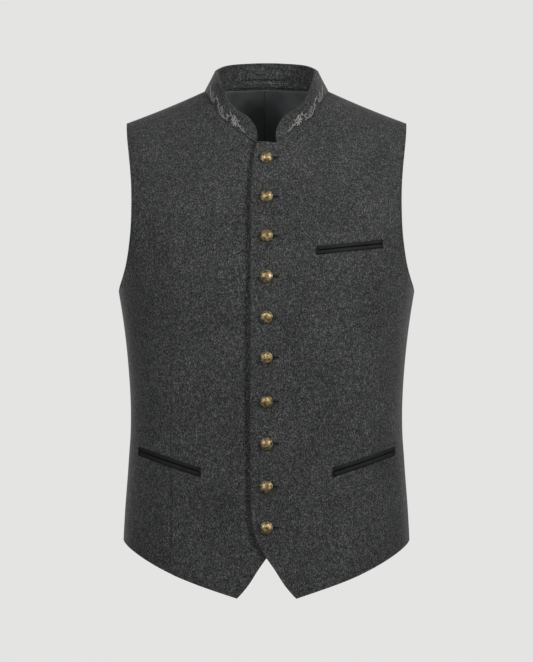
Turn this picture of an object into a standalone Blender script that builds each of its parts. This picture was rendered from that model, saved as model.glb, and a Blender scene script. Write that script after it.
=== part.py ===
"""A folk-dress vest in charcoal loden, filled out as it is worn, with its neck, hem and armholes open.

The cloth is a set of curved walls cut to the pattern of a real vest: two fronts, two backs, a stand-up
collar, a back lining, a hanger loop and jetted pockets, with ten domed metal buttons.
Lengths are millimetres until the points go into a mesh. +Z is up, the front looks along -Y, and the
origin lies midway between the two points where shoulder seam and neckline meet.
"Left" and "right" are the wearer's, so the left front lies at +X.
"""
import math
from bisect import bisect_right

import bmesh
import bpy
from mathutils import Vector

MM = 0.001

# Walls and gaps
WALL = 2.4                 # loden with its facing
COLLAR_WALL = 3.5
LINING_WALL = 1.0
JET_WALL = 1.2
LOOP_WALL = 1.2
SEAM_GAP = 0.3             # between neighbouring panels
LAY_GAP = 0.5              # under a piece that lies on a panel
LINING_GAP = 1.1           # the lining hangs a little free of the back

# The worn form: level sections from the top of the shoulder down to the hem
SECTION_COLUMNS = ("height", "half_width", "front_depth", "back_depth")
SECTIONS = (
    (-640, 183.5, 128, 112),
    (-530, 178.0, 122, 106),
    (-470, 173.6, 119, 100),
    (-410, 170.4, 119, 98),
    (-350, 173.3, 123, 103),
    (-300, 178.4, 127, 109),
    (-251, 186.0, 128, 114),
    (-210, 190.0, 126, 115),
    (-160, 193.5, 117, 111),
    (-100, 196.0, 95, 96),
    (-55, 197.0, 70, 78),
    (-20, 198.0, 44, 56),
    (-6, 198.0, 22, 30),
    (0, 198.0, 0, 0),
)
SQUARENESS = 2.4           # 2 would make each section an ellipse
UNDERARM = -251            # the shoulder slope fades out at this height
NECK_X = 78.2              # half the distance between the two neck points
SHOULDER_FALL = 0.459      # slope of the shoulder seam at the neck
SHOULDER_HOLLOW = 0.000515 # how much it flattens towards the tip, per millimetre
FRONT_CROWN = 70           # inside this x the front's slope rounds off towards the centre
BACK_CROWN_COLUMNS = ("x", "rise")
BACK_CROWN = (             # the back rises further, into the root of the neck
    (0.0, 29.3), (14.0, 28.7), (28.0, 26.4), (41.0, 22.6), (53.0, 17.0), (63.0, 10.2), (71.0, 4.4), (NECK_X, 0.0),
)

# Left front: its free edge from the hem point up to the neck, then the matching side and armhole
EDGE_COLUMNS = ("x", "z")
FRONT_EDGE = (
    (35.8, -624.6),
    (21.8, -608.5),
    (9.9, -590.0),
    (-2.1, -573.0),
    (-9.6, -560.0),
    (-14.4, -548.0),
    (-17.6, -533.0),
    (-19.0, -512.0),
    (-19.8, -476.0),
    (-20.0, -430.0),
    (-19.9, -384.0),
    (-19.8, -338.0),
    (-19.7, -292.0),
    (-19.6, -267.0),
    (-19.5, -243.0),
    (-19.4, -220.0),
    (-19.3, -198.0),
    (-19.2, -177.0),
    (-19.0, -157.0),
    (-18.8, -138.0),
    (-18.2, -121.0),
    (-17.3, -106.0),
    (-16.0, -94.0),
    (-14.0, -82.5),
    (-11.6, -71.5),
)
SIDE_SEAM = (-562, -553, -541, -528, -514, -498, -480, -456, -425, -388, -344, -298, -251)
FRONT_ARMHOLE = (
    (182.9, -245.5), (178.6, -235.0), (174.3, -221.0), (170.6, -201.0), (168.0, -177.0), (167.2, -150.0),
    (167.8, -124.0), (169.7, -101.0), (172.2, -80.0), (174.4, -62.0), (175.8, -48.0), (176.4, -40.1),
)
BACK_ARMHOLE = (
    (183.3, -245.5), (179.4, -235.0), (175.4, -221.0), (172.1, -201.0), (170.2, -177.0), (169.6, -150.0),
    (170.1, -124.0), (171.6, -101.0), (173.6, -80.0), (175.1, -62.0), (176.0, -48.0), (176.4, -40.1),
)
BACK_CENTRE = (-562, -553, -541, -528, -514, -498, -480, -456, -425, -388, -344, -298, -251,
               -226, -202, -179, -157, -136, -116, -97, -79, -62, -46, -31, -18)
FRONT_HEM = (
    (35.8, -624.6), (63.5, -615.8), (102.5, -602.5), (133.5, -589.2), (157.9, -576.8),
    (167.6, -571.3), (176.0, -566.0), (181.0, -562.0),
)
FRONT_NECK = (
    (12.5, -71.5), (26.5, -61.8), (39.5, -53.4), (50.5, -45.2), (59.6, -34.3),
    (66.5, -21.8), (72.0, -11.0), (76.2, -3.4), (NECK_X, 0.0),
)
BACK_NECK_COLUMNS = ("x", "height")
BACK_NECK = (
    (0.0, -18.4), (14.0, -18.0), (28.0, -16.6), (41.0, -13.8), (53.0, -9.8),
    (63.0, -5.8), (71.0, -2.5), (76.2, -0.6), (NECK_X, 0.0),
)

# How the panel grids run
ROWS = len(FRONT_EDGE) - 1
UNDERARM_ROW = len(SIDE_SEAM) - 1
EDGE_SPANS = 2             # from the free front edge to the end of the collar
NECK_SPANS = len(FRONT_NECK) - 1
SHOULDER_SPANS = 7
FRONT_SPANS = EDGE_SPANS + NECK_SPANS + SHOULDER_SPANS
BACK_SPANS = NECK_SPANS + SHOULDER_SPANS
HEM_ROWS = 8               # the hem's own line fades out over these rows
LAP_WIDTH = 22             # rows stay level this far from the centre, where the fronts overlap
LAP_FADE = 75              # the left front has come back to the body here
EDGE_STRIP = 24            # width of the first columns beside the slanting points of the hem
DART_X = 117
DART_DEPTH = 0.9
DART_TOP = -262
DART_FULL = -330
BACK_GUIDE_X = 128         # where the column of the neck point runs lower down the back

# Collar
COLLAR_BACK_HEIGHTS = (31, 31, 31, 30.9, 30.6, 30.7, 29.8, 29.1)      # from centre back towards the neck point
COLLAR_FRONT_HEIGHTS = (25, 25, 25, 28.5, 31.5, 32, 32, 32, 31.1)   # from the front end to the neck point
COLLAR_END_HEIGHT = 8      # straight part of each front end, below its rounded corner
COLLAR_CORNER_SPANS = 4
COLLAR_ROWS = 4
COLLAR_LEAN = (14, 12.5, 10.5, 10.5, 13, 16, 21, 26, 30)   # degrees inwards, from the front end to the neck point
COLLAR_BACK_LEAN = 9       # at centre back

# Pockets: the middle of the opening, from its inner to its outer end, seen from the front
POCKET_COLUMNS = ("name", "inner_x", "inner_z", "outer_x", "outer_z", "height")
POCKETS = (
    ("breast", 60.5, -204.2, 141.0, -195.2, 10.2),
    ("left_pocket", 80.5, -473.0, 157.5, -449.5, 11.6),
    ("right_pocket", -80.0, -473.0, -157.0, -449.5, 11.6),
)
JET_SPLIT = 1.0            # the dark slit between the two lips
JET_SPANS = 10

# Buttons
BUTTON_HEIGHTS = (-91.5, -139.4, -187.3, -235.8, -284.6, -333.4, -386.6, -438, -490.2, -539.5)
BUTTON_X = 0.0
BUTTON_SEGMENTS = 16
BUTTON_PROFILE = (         # radius and height, from the middle of the dome to the foot of the shank
    (0.0, 6.3),
    (3.0, 5.9),
    (5.4, 4.7),
    (7.0, 3.0),
    (7.5, 1.9),
    (7.0, 1.3),
    (2.6, 1.1),
    (2.6, 0.0),
    (0.0, 0.0),
)

# Back lining and hanger loop
LINING_ROWS = (1.5, 4, 6, 8, 9, 10, 11, 12, 14, 16, 18, 20, 21, 22, 23, 23.96)   # rows of the back panels
LINING_COLUMNS = (0, 2, 4, 5, 6, 7, 8, 9, 10, 12, 13, 14, 14.8)   # and columns, from the centre out
PLEAT_DEPTH = 2.0
LOOP_HALF = 26
LOOP_LOW = 0.34            # share of the collar's height
LOOP_HIGH = 0.58
LOOP_BOW = 1.0
LOOP_SPANS = 8

PIECES = bpy.data.collections.new("folk_vest")

MATERIALS = {              # colour, roughness, metallic
    "loden": ((0.052, 0.055, 0.060), 0.92, 0.0),
    "lining": ((0.040, 0.042, 0.046), 0.42, 0.0),
    "jet": ((0.012, 0.012, 0.014), 0.45, 0.0),
    "button": ((0.270, 0.180, 0.085), 0.42, 1.0),
}


def table_column(columns, rows, name):
    """One named column of a table."""
    place = columns.index(name)
    return [row[place] for row in rows]


def smooth_curve(places, values):
    """Returns a function that reads a smooth curve through the points, with no overshoot."""
    steps = [after - before for before, after in zip(places, places[1:])]
    grades = [(after - before) / step for before, after, step in zip(values, values[1:], steps)]
    slopes = [grades[0]]
    for before, after in zip(grades, grades[1:]):
        slopes.append(2 * before * after / (before + after) if before * after > 0 else 0.0)
    slopes.append(grades[-1])

    def read(place):
        if place <= places[0]:
            return values[0] + slopes[0] * (place - places[0])
        if place >= places[-1]:
            return values[-1] + slopes[-1] * (place - places[-1])
        k = bisect_right(places, place) - 1
        t = (place - places[k]) / steps[k]
        rise = values[k + 1] - values[k]
        return (values[k] + rise * t * t * (3 - 2 * t)
                + steps[k] * t * (1 - t) * (slopes[k] * (1 - t) - slopes[k + 1] * t))

    return read


def by_row(values):
    """A smooth curve through values that stand at rows 0, 1, 2 and on."""
    return smooth_curve(list(range(len(values))), list(values))


def mix(low, high, share):
    return low + (high - low) * share


def soft_step(low, high, at):
    """Runs smoothly from 0 at low to 1 at high."""
    t = min(max((at - low) / (high - low), 0.0), 1.0)
    return t * t * (3 - 2 * t)


section_heights = table_column(SECTION_COLUMNS, SECTIONS, "height")
half_width = smooth_curve(section_heights, table_column(SECTION_COLUMNS, SECTIONS, "half_width"))
# Depths are read as squares, which run straight into zero where the shoulder rounds over.
front_square = smooth_curve(
    section_heights, [d * d for d in table_column(SECTION_COLUMNS, SECTIONS, "front_depth")])
back_square = smooth_curve(
    section_heights, [d * d for d in table_column(SECTION_COLUMNS, SECTIONS, "back_depth")])


back_crown = smooth_curve(
    table_column(BACK_CROWN_COLUMNS, BACK_CROWN, "x"), table_column(BACK_CROWN_COLUMNS, BACK_CROWN, "rise"))


def shoulder_line(x, in_front):
    """Height of the shoulder seam over x, carried on towards the centre as a soft crown."""
    if not in_front and x < NECK_X:
        return back_crown(x)
    out = max(x, FRONT_CROWN) - NECK_X
    height = SHOULDER_HOLLOW * out * out - SHOULDER_FALL * out
    if x < FRONT_CROWN:
        slope = SHOULDER_FALL - 2 * SHOULDER_HOLLOW * out
        height += slope * (FRONT_CROWN * FRONT_CROWN - x * x) / (2 * FRONT_CROWN)
    return height


def body_point(turn, height):
    """A point of the worn form: turn 0 is centre front, 90 the left side and 180 centre back."""
    across = math.sin(math.radians(turn))
    in_front = math.cos(math.radians(turn)) >= 0
    square = front_square(height) if in_front else back_square(height)
    depth = math.sqrt(max(square, 0.0)) * max(1 - abs(across) ** SQUARENESS, 0.0) ** (1 / SQUARENESS)
    x = half_width(height) * across
    z = height + soft_step(UNDERARM, 0, height) * shoulder_line(abs(x), in_front)
    return Vector((x, -depth if in_front else depth, z))


def body_normal(turn, height):
    """The outward direction of the worn form, taken across the ridge at the shoulder seam."""
    turn_step, height_step = 0.4, 1.0
    across = body_point(turn + turn_step, height) - body_point(turn - turn_step, height)
    if height > -height_step:
        lower = height - height_step
        along = body_point(180 - turn, lower) - body_point(turn, lower)
    else:
        along = body_point(turn, height + height_step) - body_point(turn, height - height_step)
    return across.cross(along).normalized()


def turn_at(x, height):
    """The turn on the front at which the form reaches x."""
    return math.degrees(math.asin(max(-1.0, min(1.0, x / half_width(height)))))


def height_at(x, z, in_front=True):
    """The section height at which the form passes through x and z, seen from the front."""
    line = shoulder_line(abs(x), in_front)
    low, high = section_heights[0], 0.0
    for _ in range(40):
        middle = (low + high) / 2
        if middle + soft_step(UNDERARM, 0, middle) * line < z:
            low = middle
        else:
            high = middle
    return (low + high) / 2


edge_x = by_row(table_column(EDGE_COLUMNS, FRONT_EDGE, "x"))
edge_height = by_row([height_at(x, z) for x, z in FRONT_EDGE])
hem_height = smooth_curve(
    table_column(EDGE_COLUMNS, FRONT_HEM, "x"), table_column(EDGE_COLUMNS, FRONT_HEM, "z"))
neck_x = by_row(table_column(EDGE_COLUMNS, FRONT_NECK, "x"))
neck_height = by_row([height_at(x, z) for x, z in FRONT_NECK])
back_neck_x = by_row(table_column(BACK_NECK_COLUMNS, BACK_NECK, "x"))
back_neck_height = by_row(table_column(BACK_NECK_COLUMNS, BACK_NECK, "height"))
back_centre = by_row(BACK_CENTRE)


def outer_edge(armhole, in_front):
    """Turn and height of a panel's outer edge by row: the side seam, then the armhole."""
    turns = [90.0] * len(SIDE_SEAM)
    heights = list(SIDE_SEAM)
    for x, z in armhole:
        height = height_at(x, z, in_front)
        turns.append(turn_at(x, height))
        heights.append(height)
    return by_row(turns), by_row(heights)


front_outer_turn, front_outer_height = outer_edge(FRONT_ARMHOLE, True)
back_outer_turn, back_outer_height = outer_edge(BACK_ARMHOLE, False)


def front_place(column, row):
    """Turn and height of a point of the left front's pattern, by column from its free edge and by row."""
    start = edge_x(row)
    collar_x = max(FRONT_NECK[0][0], start + EDGE_STRIP)
    upper = soft_step(UNDERARM_ROW, ROWS, row)
    neck_column = column - EDGE_SPANS
    level = edge_height(row)
    guide_turn = turn_at(mix(DART_X, NECK_X, upper), mix(level, 0, upper))
    if neck_column <= 0:
        turn = turn_at(mix(start, collar_x, column / EDGE_SPANS), level)
    elif neck_column <= NECK_SPANS:
        even = mix(collar_x, DART_X, neck_column / NECK_SPANS)
        turn = turn_at(mix(even, neck_x(neck_column), upper), level)
        turn = mix(turn, guide_turn, upper * neck_column / NECK_SPANS)
    else:
        share = (neck_column - NECK_SPANS) / SHOULDER_SPANS
        turn = mix(guide_turn, front_outer_turn(row), share)
    return turn, level


def root(height):
    """Square root of the drop below the shoulder, in which the rounding of the shoulder is even."""
    return math.sqrt(max(-height, 0.0))


def drawn_up(row, share, inner, outer, top_share, top):
    """Height above the underarm: between a panel's inner and outer edges, drawn up to its top line."""
    here = mix(root(inner(row)), root(outer(row)), share)
    at_top = mix(root(inner(ROWS)), root(outer(ROWS)), top_share)
    rise = (row - UNDERARM_ROW) / (ROWS - UNDERARM_ROW)
    return -max(here + (root(top) - at_top) * rise, 0.0) ** 2


def front_share(row, turn):
    """How far a point lies from the lap to the outer edge; rows are level inside the lap."""
    lap_turn = turn_at(max(LAP_WIDTH, edge_x(row)), edge_height(row))
    return max(turn - lap_turn, 0.0) / (front_outer_turn(row) - lap_turn)


def front_height(column, row, turn):
    """Section height of a point of the left front."""
    share = front_share(row, turn)
    if row > UNDERARM_ROW:
        top_share = front_share(ROWS, front_place(column, ROWS)[0])
        top = neck_height(min(max(column - EDGE_SPANS, 0), NECK_SPANS))
        return drawn_up(row, share, edge_height, front_outer_height, top_share, top)
    height = mix(edge_height(row), front_outer_height(row), share)
    if row < HEM_ROWS:
        hem_turn = front_place(column, 0)[0]
        hem_x = half_width(SIDE_SEAM[0]) * math.sin(math.radians(hem_turn))
        straight = mix(edge_height(0), front_outer_height(0), front_share(0, hem_turn))
        height += (hem_height(hem_x) - straight) * (1 - row / HEM_ROWS)
    return height


def lap_lift(x):
    """How far the left front stands out from the body over the right one."""
    return (WALL + LAY_GAP) * (1 - soft_step(LAP_WIDTH, LAP_FADE, x))


def left_front_point(column, row, out=0.0, lapped=True):
    """A point of the left front's outer face, or of the same pattern moved outwards by out."""
    turn, _ = front_place(column, row)
    height = front_height(column, row, turn)
    if row == ROWS and EDGE_SPANS < column <= EDGE_SPANS + NECK_SPANS:
        turn = turn_at(neck_x(column - EDGE_SPANS), height)
    point = body_point(turn, height)
    if lapped:
        out += lap_lift(point.x)
    at_dart = max(1 - abs(point.x - DART_X) / 8, 0.0)
    out -= DART_DEPTH * at_dart * soft_step(-DART_TOP, -DART_FULL, -height)
    if row == ROWS and column >= EDGE_SPANS + NECK_SPANS:
        point.y -= SEAM_GAP / 2
    if column == FRONT_SPANS and row <= UNDERARM_ROW:
        point.y -= SEAM_GAP / 2
    return point + body_normal(turn, height) * out


def right_front_point(column, row, out=0.0):
    """The right front is the left one mirrored, and lies flat on the body under the lap."""
    return mirrored(left_front_point(column, row, out, lapped=False))


def mirrored(point):
    return Vector((-point.x, point.y, point.z))


def left_back_point(column, row, out=0.0):
    """A point of the left back's outer face, by column from the centre seam and by row."""
    upper = soft_step(UNDERARM_ROW, ROWS, row)
    level = back_centre(row)
    guide_turn = turn_at(mix(BACK_GUIDE_X, NECK_X, upper), mix(level, 0, upper))
    if column <= NECK_SPANS:
        even = guide_turn * column / NECK_SPANS
        top = turn_at(back_neck_x(column), back_neck_height(column))
        turn = mix(even, top, upper)
    else:
        turn = mix(guide_turn, back_outer_turn(row), (column - NECK_SPANS) / SHOULDER_SPANS)
    share = turn / back_outer_turn(row)
    if row > UNDERARM_ROW:
        if column <= NECK_SPANS:
            top = back_neck_height(column)
            top_turn = turn_at(back_neck_x(column), top)
        else:
            top = 0.0
            part = (column - NECK_SPANS) / SHOULDER_SPANS
            top_turn = mix(turn_at(NECK_X, 0), back_outer_turn(ROWS), part)
        top_share = top_turn / back_outer_turn(ROWS)
        height = drawn_up(row, share, back_centre, back_outer_height, top_share, top)
    else:
        height = mix(level, back_outer_height(row), share)
    point = body_point(180 - turn, height)
    if column == 0:
        point.x += SEAM_GAP / 2
    if row == ROWS and column >= NECK_SPANS:
        point.y += SEAM_GAP / 2
    if column == BACK_SPANS and row <= UNDERARM_ROW:
        point.y += SEAM_GAP / 2
    return point + body_normal(180 - turn, height) * out


def right_back_point(column, row, out=0.0):
    return mirrored(left_back_point(column, row, out))


def make_material(name):
    colour, roughness, metallic = MATERIALS[name]
    material = bpy.data.materials.get(name) or bpy.data.materials.new(name)
    material.use_nodes = True
    shader = material.node_tree.nodes["Principled BSDF"]
    shader.inputs["Base Color"].default_value = (*colour, 1.0)
    shader.inputs["Roughness"].default_value = roughness
    shader.inputs["Metallic"].default_value = metallic
    material.diffuse_color = (*colour, 1.0)
    return material


def add_object(name, mesh, material):
    """Puts a mesh into the scene as one named piece."""
    piece = bpy.data.objects.new(name, mesh)
    mesh.materials.append(make_material(material))
    PIECES.objects.link(piece)
    return piece


def add_wall(name, outer, inner, material):
    """A closed wall between two grids of points, which are lists of rows.

    The inner face comes from the form's own normals, so neighbouring walls stay parallel at a seam.
    """
    columns = len(outer[0])
    mesh = bpy.data.meshes.new(name)
    built = bmesh.new()
    faces_of = []
    for grid in (outer, inner):
        faces_of.append([[built.verts.new(point * MM) for point in row] for row in grid])
    for skin in faces_of:
        for low, high in zip(skin, skin[1:]):
            for k in range(columns - 1):
                built.faces.new((low[k], low[k + 1], high[k + 1], high[k]))
    rims = []
    for skin in faces_of:
        ring = skin[0][:] + [row[-1] for row in skin[1:]]
        ring += skin[-1][-2::-1] + [row[0] for row in skin[-2:0:-1]]
        rims.append(ring)
    for k in range(len(rims[0])):
        after = (k + 1) % len(rims[0])
        built.faces.new((rims[0][k], rims[0][after], rims[1][after], rims[1][k]))
    bmesh.ops.recalc_face_normals(built, faces=built.faces)
    built.to_mesh(mesh)
    built.free()
    mesh.shade_smooth()
    mesh.set_sharp_from_angle(angle=math.radians(40))
    return add_object(name, mesh, material)


def grid_of(point_at, columns, rows, out=0.0):
    """Rows of points from a function of column, row and outward offset."""
    return [[point_at(column, row, out) for column in columns] for row in rows]


def add_panel(name, point_at, spans):
    columns, rows = range(spans + 1), range(ROWS + 1)
    outer = grid_of(point_at, columns, rows)
    inner = grid_of(point_at, columns, rows, -WALL)
    return add_wall(name, outer, inner, "loden")


def collar_seam():
    """The neckline from the left front's collar end round the back to the right one.

    Each place holds its point, the collar's lean and its height.
    """
    front = list(zip(COLLAR_LEAN, COLLAR_FRONT_HEIGHTS))
    left = [(left_front_point(EDGE_SPANS + k, ROWS), *front[k]) for k in range(NECK_SPANS + 1)]
    right = [(right_front_point(EDGE_SPANS + k, ROWS), *front[k]) for k in range(NECK_SPANS + 1)]
    back = []
    for k in range(1 - NECK_SPANS, NECK_SPANS):
        point = left_back_point(abs(k), ROWS)
        point.x = math.copysign(point.x, -k) if k else 0.0
        lean = mix(COLLAR_BACK_LEAN, COLLAR_LEAN[-1], (k / NECK_SPANS) ** 2)
        back.append((point, lean, COLLAR_BACK_HEIGHTS[abs(k)]))
    return left + back + right[::-1]


def corner_columns(first, second):
    """Splits the seam's end span so that the collar's front corner comes out round."""
    columns = []
    for k in range(COLLAR_CORNER_SPANS):
        angle = math.pi / 2 * k / COLLAR_CORNER_SPANS
        point = first[0].lerp(second[0], 1 - math.cos(angle))
        height = mix(COLLAR_END_HEIGHT, first[2], math.sin(angle))
        columns.append((point, first[1], height))
    return columns


def collar_columns():
    """For each column of the collar: foot, direction up the collar, outward direction and height."""
    seam = collar_seam()
    columns = corner_columns(seam[0], seam[1])
    columns += seam[1:-1]
    columns += corner_columns(seam[-1], seam[-2])[::-1]
    framed = []
    for k, (point, lean, height) in enumerate(columns):
        before = columns[max(k - 1, 0)][0]
        after = columns[min(k + 1, len(columns) - 1)][0]
        along = (after - before).normalized()
        outward = Vector((along.y, -along.x, 0)).normalized()
        if outward.dot(Vector((point.x, point.y + 15, 0))) < 0:
            outward.negate()
        lean = math.radians(lean)
        up = Vector((0, 0, 1)) * math.cos(lean) - outward * math.sin(lean)
        out = along.cross(up).normalized()
        if out.dot(outward) < 0:
            out.negate()
        framed.append((point, up, out, height))
    return framed


def collar_point(column, share, out=0.0):
    foot, up, outward, height = column
    return foot + up * (SEAM_GAP * 1.2 + height * share) + outward * out


def add_collar():
    columns = collar_columns()
    shares = [k / COLLAR_ROWS for k in range(COLLAR_ROWS + 1)]
    outer = [[collar_point(column, share) for column in columns] for share in shares]
    inner = [[collar_point(column, share, -COLLAR_WALL) for column in columns] for share in shares]
    return add_wall("collar", outer, inner, "loden")


def add_lining():
    """The back lining: one open sheet inside both backs, given its thickness by Solidify."""
    columns = [-column for column in LINING_COLUMNS[:0:-1]] + list(LINING_COLUMNS)
    mesh = bpy.data.meshes.new("back_lining")
    built = bmesh.new()
    grid = []
    for row in LINING_ROWS:
        line = []
        for column in columns:
            place = left_back_point(abs(column), row, -WALL - LINING_GAP)
            place.x = math.copysign(place.x, column) if column else 0.0
            if column == 0:
                place.y -= PLEAT_DEPTH
            line.append(built.verts.new(place * MM))
        grid.append(line)
    for low, high in zip(grid, grid[1:]):
        for k in range(len(columns) - 1):
            corners = [low[k], high[k], high[k + 1], low[k + 1]]
            if columns[k] < 0:
                corners.append(corners.pop(0))   # folds along the mirrored diagonal, as the back does
            built.faces.new(corners)
    built.to_mesh(mesh)
    built.free()
    mesh.shade_smooth()
    lining = add_object("back_lining", mesh, "lining")
    shell = lining.modifiers.new("thickness", "SOLIDIFY")
    shell.thickness = LINING_WALL * MM
    shell.offset = -1.0
    return lining


def add_hanger_loop():
    """The loop sewn inside the back of the collar, bowed a little away from it."""
    near_centre = [column for column in collar_columns() if column[0].y > 20]
    feet = [column[0].x for column in near_centre]
    xs = [mix(LOOP_HALF, -LOOP_HALF, k / LOOP_SPANS) for k in range(LOOP_SPANS + 1)]
    outer, inner = [], []
    for share in (LOOP_LOW, LOOP_HIGH):
        outer_row, inner_row = [], []
        for x in xs:
            k = max(i for i, foot in enumerate(feet) if foot >= x)
            part = (feet[k] - x) / (feet[k] - feet[k + 1])
            bow = LOOP_BOW * (1 - (x / LOOP_HALF) ** 2)
            for row, depth in ((outer_row, LAY_GAP), (inner_row, LAY_GAP + LOOP_WALL)):
                out = -COLLAR_WALL - depth - bow
                first = collar_point(near_centre[k], share, out)
                row.append(first.lerp(collar_point(near_centre[k + 1], share, out), part))
        outer.append(outer_row)
        inner.append(inner_row)
    return add_wall("hanger_loop", outer, inner, "loden")


def add_jet(name, pocket, low, high):
    """One lip of a pocket opening, laid on the front: low and high are heights about its middle line."""
    skins = []
    for out in (LAY_GAP + JET_WALL, LAY_GAP):
        skin = []
        for rise in (low, high):
            row = []
            for k in range(JET_SPANS + 1):
                share = k / JET_SPANS
                x = mix(pocket["inner_x"], pocket["outer_x"], share)
                z = mix(pocket["inner_z"], pocket["outer_z"], share) + rise
                height = height_at(x, z)
                turn = turn_at(x, height)
                lifted = out + (lap_lift(x) if x > 0 else 0.0)
                row.append(body_point(turn, height) + body_normal(turn, height) * lifted)
            skin.append(row)
        skins.append(skin)
    return add_wall(name, skins[0], skins[1], "jet")


def add_pockets():
    for row in POCKETS:
        pocket = dict(zip(POCKET_COLUMNS, row))
        half = pocket["height"] / 2
        add_jet(f"{pocket['name']}_jet_upper", pocket, JET_SPLIT / 2, half)
        add_jet(f"{pocket['name']}_jet_lower", pocket, -half, -JET_SPLIT / 2)


def button_mesh():
    """The button's profile, which Screw turns about its own axis."""
    mesh = bpy.data.meshes.new("button")
    points = [(radius * MM, 0.0, height * MM) for radius, height in BUTTON_PROFILE]
    edges = [(k, k + 1) for k in range(len(points) - 1)]
    mesh.from_pydata(points, edges, [])
    return mesh


def add_buttons():
    """Ten domed shank buttons down the centre of the lap, each square to the cloth."""
    profile = button_mesh()
    profile.materials.append(make_material("button"))
    for number, z in enumerate(BUTTON_HEIGHTS, start=1):
        height = height_at(BUTTON_X, z)
        out = body_normal(0, height)
        foot = body_point(0, height) + out * (lap_lift(BUTTON_X) + LAY_GAP)
        button = bpy.data.objects.new(f"button_{number}", profile)
        PIECES.objects.link(button)
        button.location = foot * MM
        button.rotation_euler = out.to_track_quat("Z", "Y").to_euler()
        turned = button.modifiers.new("turned", "SCREW")
        turned.steps = BUTTON_SEGMENTS
        turned.render_steps = BUTTON_SEGMENTS
        turned.use_merge_vertices = True
        turned.merge_threshold = 0.00001
        turned.use_smooth_shade = True


def build():
    for old in list(bpy.data.objects):
        bpy.data.objects.remove(old)
    bpy.context.scene.collection.children.link(PIECES)
    add_panel("front_left", left_front_point, FRONT_SPANS)
    add_panel("front_right", right_front_point, FRONT_SPANS)
    add_panel("back_left", left_back_point, BACK_SPANS)
    add_panel("back_right", right_back_point, BACK_SPANS)
    add_collar()
    add_lining()
    add_hanger_loop()
    add_pockets()
    add_buttons()


build()
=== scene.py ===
# %% [markdown]
# # A charcoal loden vest, step by step
#
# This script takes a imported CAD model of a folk-dress vest and gives it its cloth: fulled wool with a
# melange of flecks, a satin lining, black pocket lips, antique buttons and a little embroidery.
# The CAD model says where everything is. Its walls could be smoothed and coloured as they are, but their
# edges, stitches and creases would be missing. So each step below builds one kind of piece anew on the
# same form, in millimetres, and then lets it stand for the plain solid.

# %% Load the frame
import math
from bisect import bisect_right

import bpy
import numpy as np
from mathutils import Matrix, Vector


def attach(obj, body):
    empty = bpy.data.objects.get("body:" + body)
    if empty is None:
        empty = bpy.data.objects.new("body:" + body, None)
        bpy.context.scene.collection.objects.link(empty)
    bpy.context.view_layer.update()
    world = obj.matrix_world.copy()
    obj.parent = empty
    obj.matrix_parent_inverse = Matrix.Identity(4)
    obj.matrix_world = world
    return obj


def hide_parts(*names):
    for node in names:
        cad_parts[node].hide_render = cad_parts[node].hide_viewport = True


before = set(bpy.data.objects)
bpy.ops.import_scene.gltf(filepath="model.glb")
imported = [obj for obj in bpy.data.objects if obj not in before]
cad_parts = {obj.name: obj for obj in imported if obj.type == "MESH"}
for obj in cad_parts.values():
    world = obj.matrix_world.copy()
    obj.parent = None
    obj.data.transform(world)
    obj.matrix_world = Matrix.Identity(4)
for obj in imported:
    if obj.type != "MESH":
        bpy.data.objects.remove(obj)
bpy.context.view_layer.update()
MM = 0.001
print("CAD nodes:", len(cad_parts))

# %% [markdown]
# ## Camera
#
# The photo shows the vest straight from the front. A camera could be placed by eye, but here the lens is
# worked out: from 3 m away, one pixel covers 1.26 mm at the plane through the shoulder seams. So the
# render and the photo can be laid over each other.

# %% Place the camera
PIXEL = 1.26               # millimetres
DISTANCE = 3000
PICTURE_HEIGHT = 662       # pixels
EYE_HEIGHT = -301.6
SENSOR = 36

camera_data = bpy.data.cameras.new("camera")
camera_data.sensor_width = SENSOR
camera_data.lens = SENSOR * DISTANCE / (PICTURE_HEIGHT * PIXEL)
camera = bpy.data.objects.new("camera", camera_data)
camera.location = (0, -DISTANCE * MM, EYE_HEIGHT * MM)
camera.rotation_euler = (math.pi / 2, 0, 0)
bpy.context.scene.collection.objects.link(camera)
bpy.context.scene.camera = camera
print("lens", round(camera_data.lens, 1))

# %% [markdown]
# ## Two helpers for colours and nodes
#
# Colours are written as sRGB hex, as a colour picker shows them, and turned linear in one place. Node
# trees could be built line by line, but one function that adds any node with its settings and its inputs
# keeps them short. An input that is another node's output becomes a link.

# %% Colour and node helpers
def linear(hex_colour):
    """A linear RGBA colour from an sRGB hex string."""
    parts = [int(hex_colour[k:k + 2], 16) / 255 for k in (1, 3, 5)]
    return (*[p / 12.92 if p <= 0.04045 else ((p + 0.055) / 1.055) ** 2.4 for p in parts], 1.0)


def add_node(tree, kind, inputs=None, **settings):
    """Adds a node, sets its properties, and fills or links its inputs."""
    node = tree.nodes.new(kind)
    for name, value in settings.items():
        setattr(node, name, value)
    for name, value in (inputs or {}).items():
        if isinstance(value, bpy.types.NodeSocket):
            tree.links.new(value, node.inputs[name])
        else:
            node.inputs[name].default_value = value
    return node


# %% [markdown]
# ## Light
#
# The studio is soft, with a plain light grey backdrop. The stronger of two softboxes stands to the
# right, so the lap throws its shadow to the left, and the inside of the neck stays dark. Two lights
# behind keep the sides and the back readable. A picture of a studio could light the vest too, but a few
# area lights are simple to read and to move.

# %% Set the lights
BACKDROP = "#E4E4E3"
AMBIENT = 0.16


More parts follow.
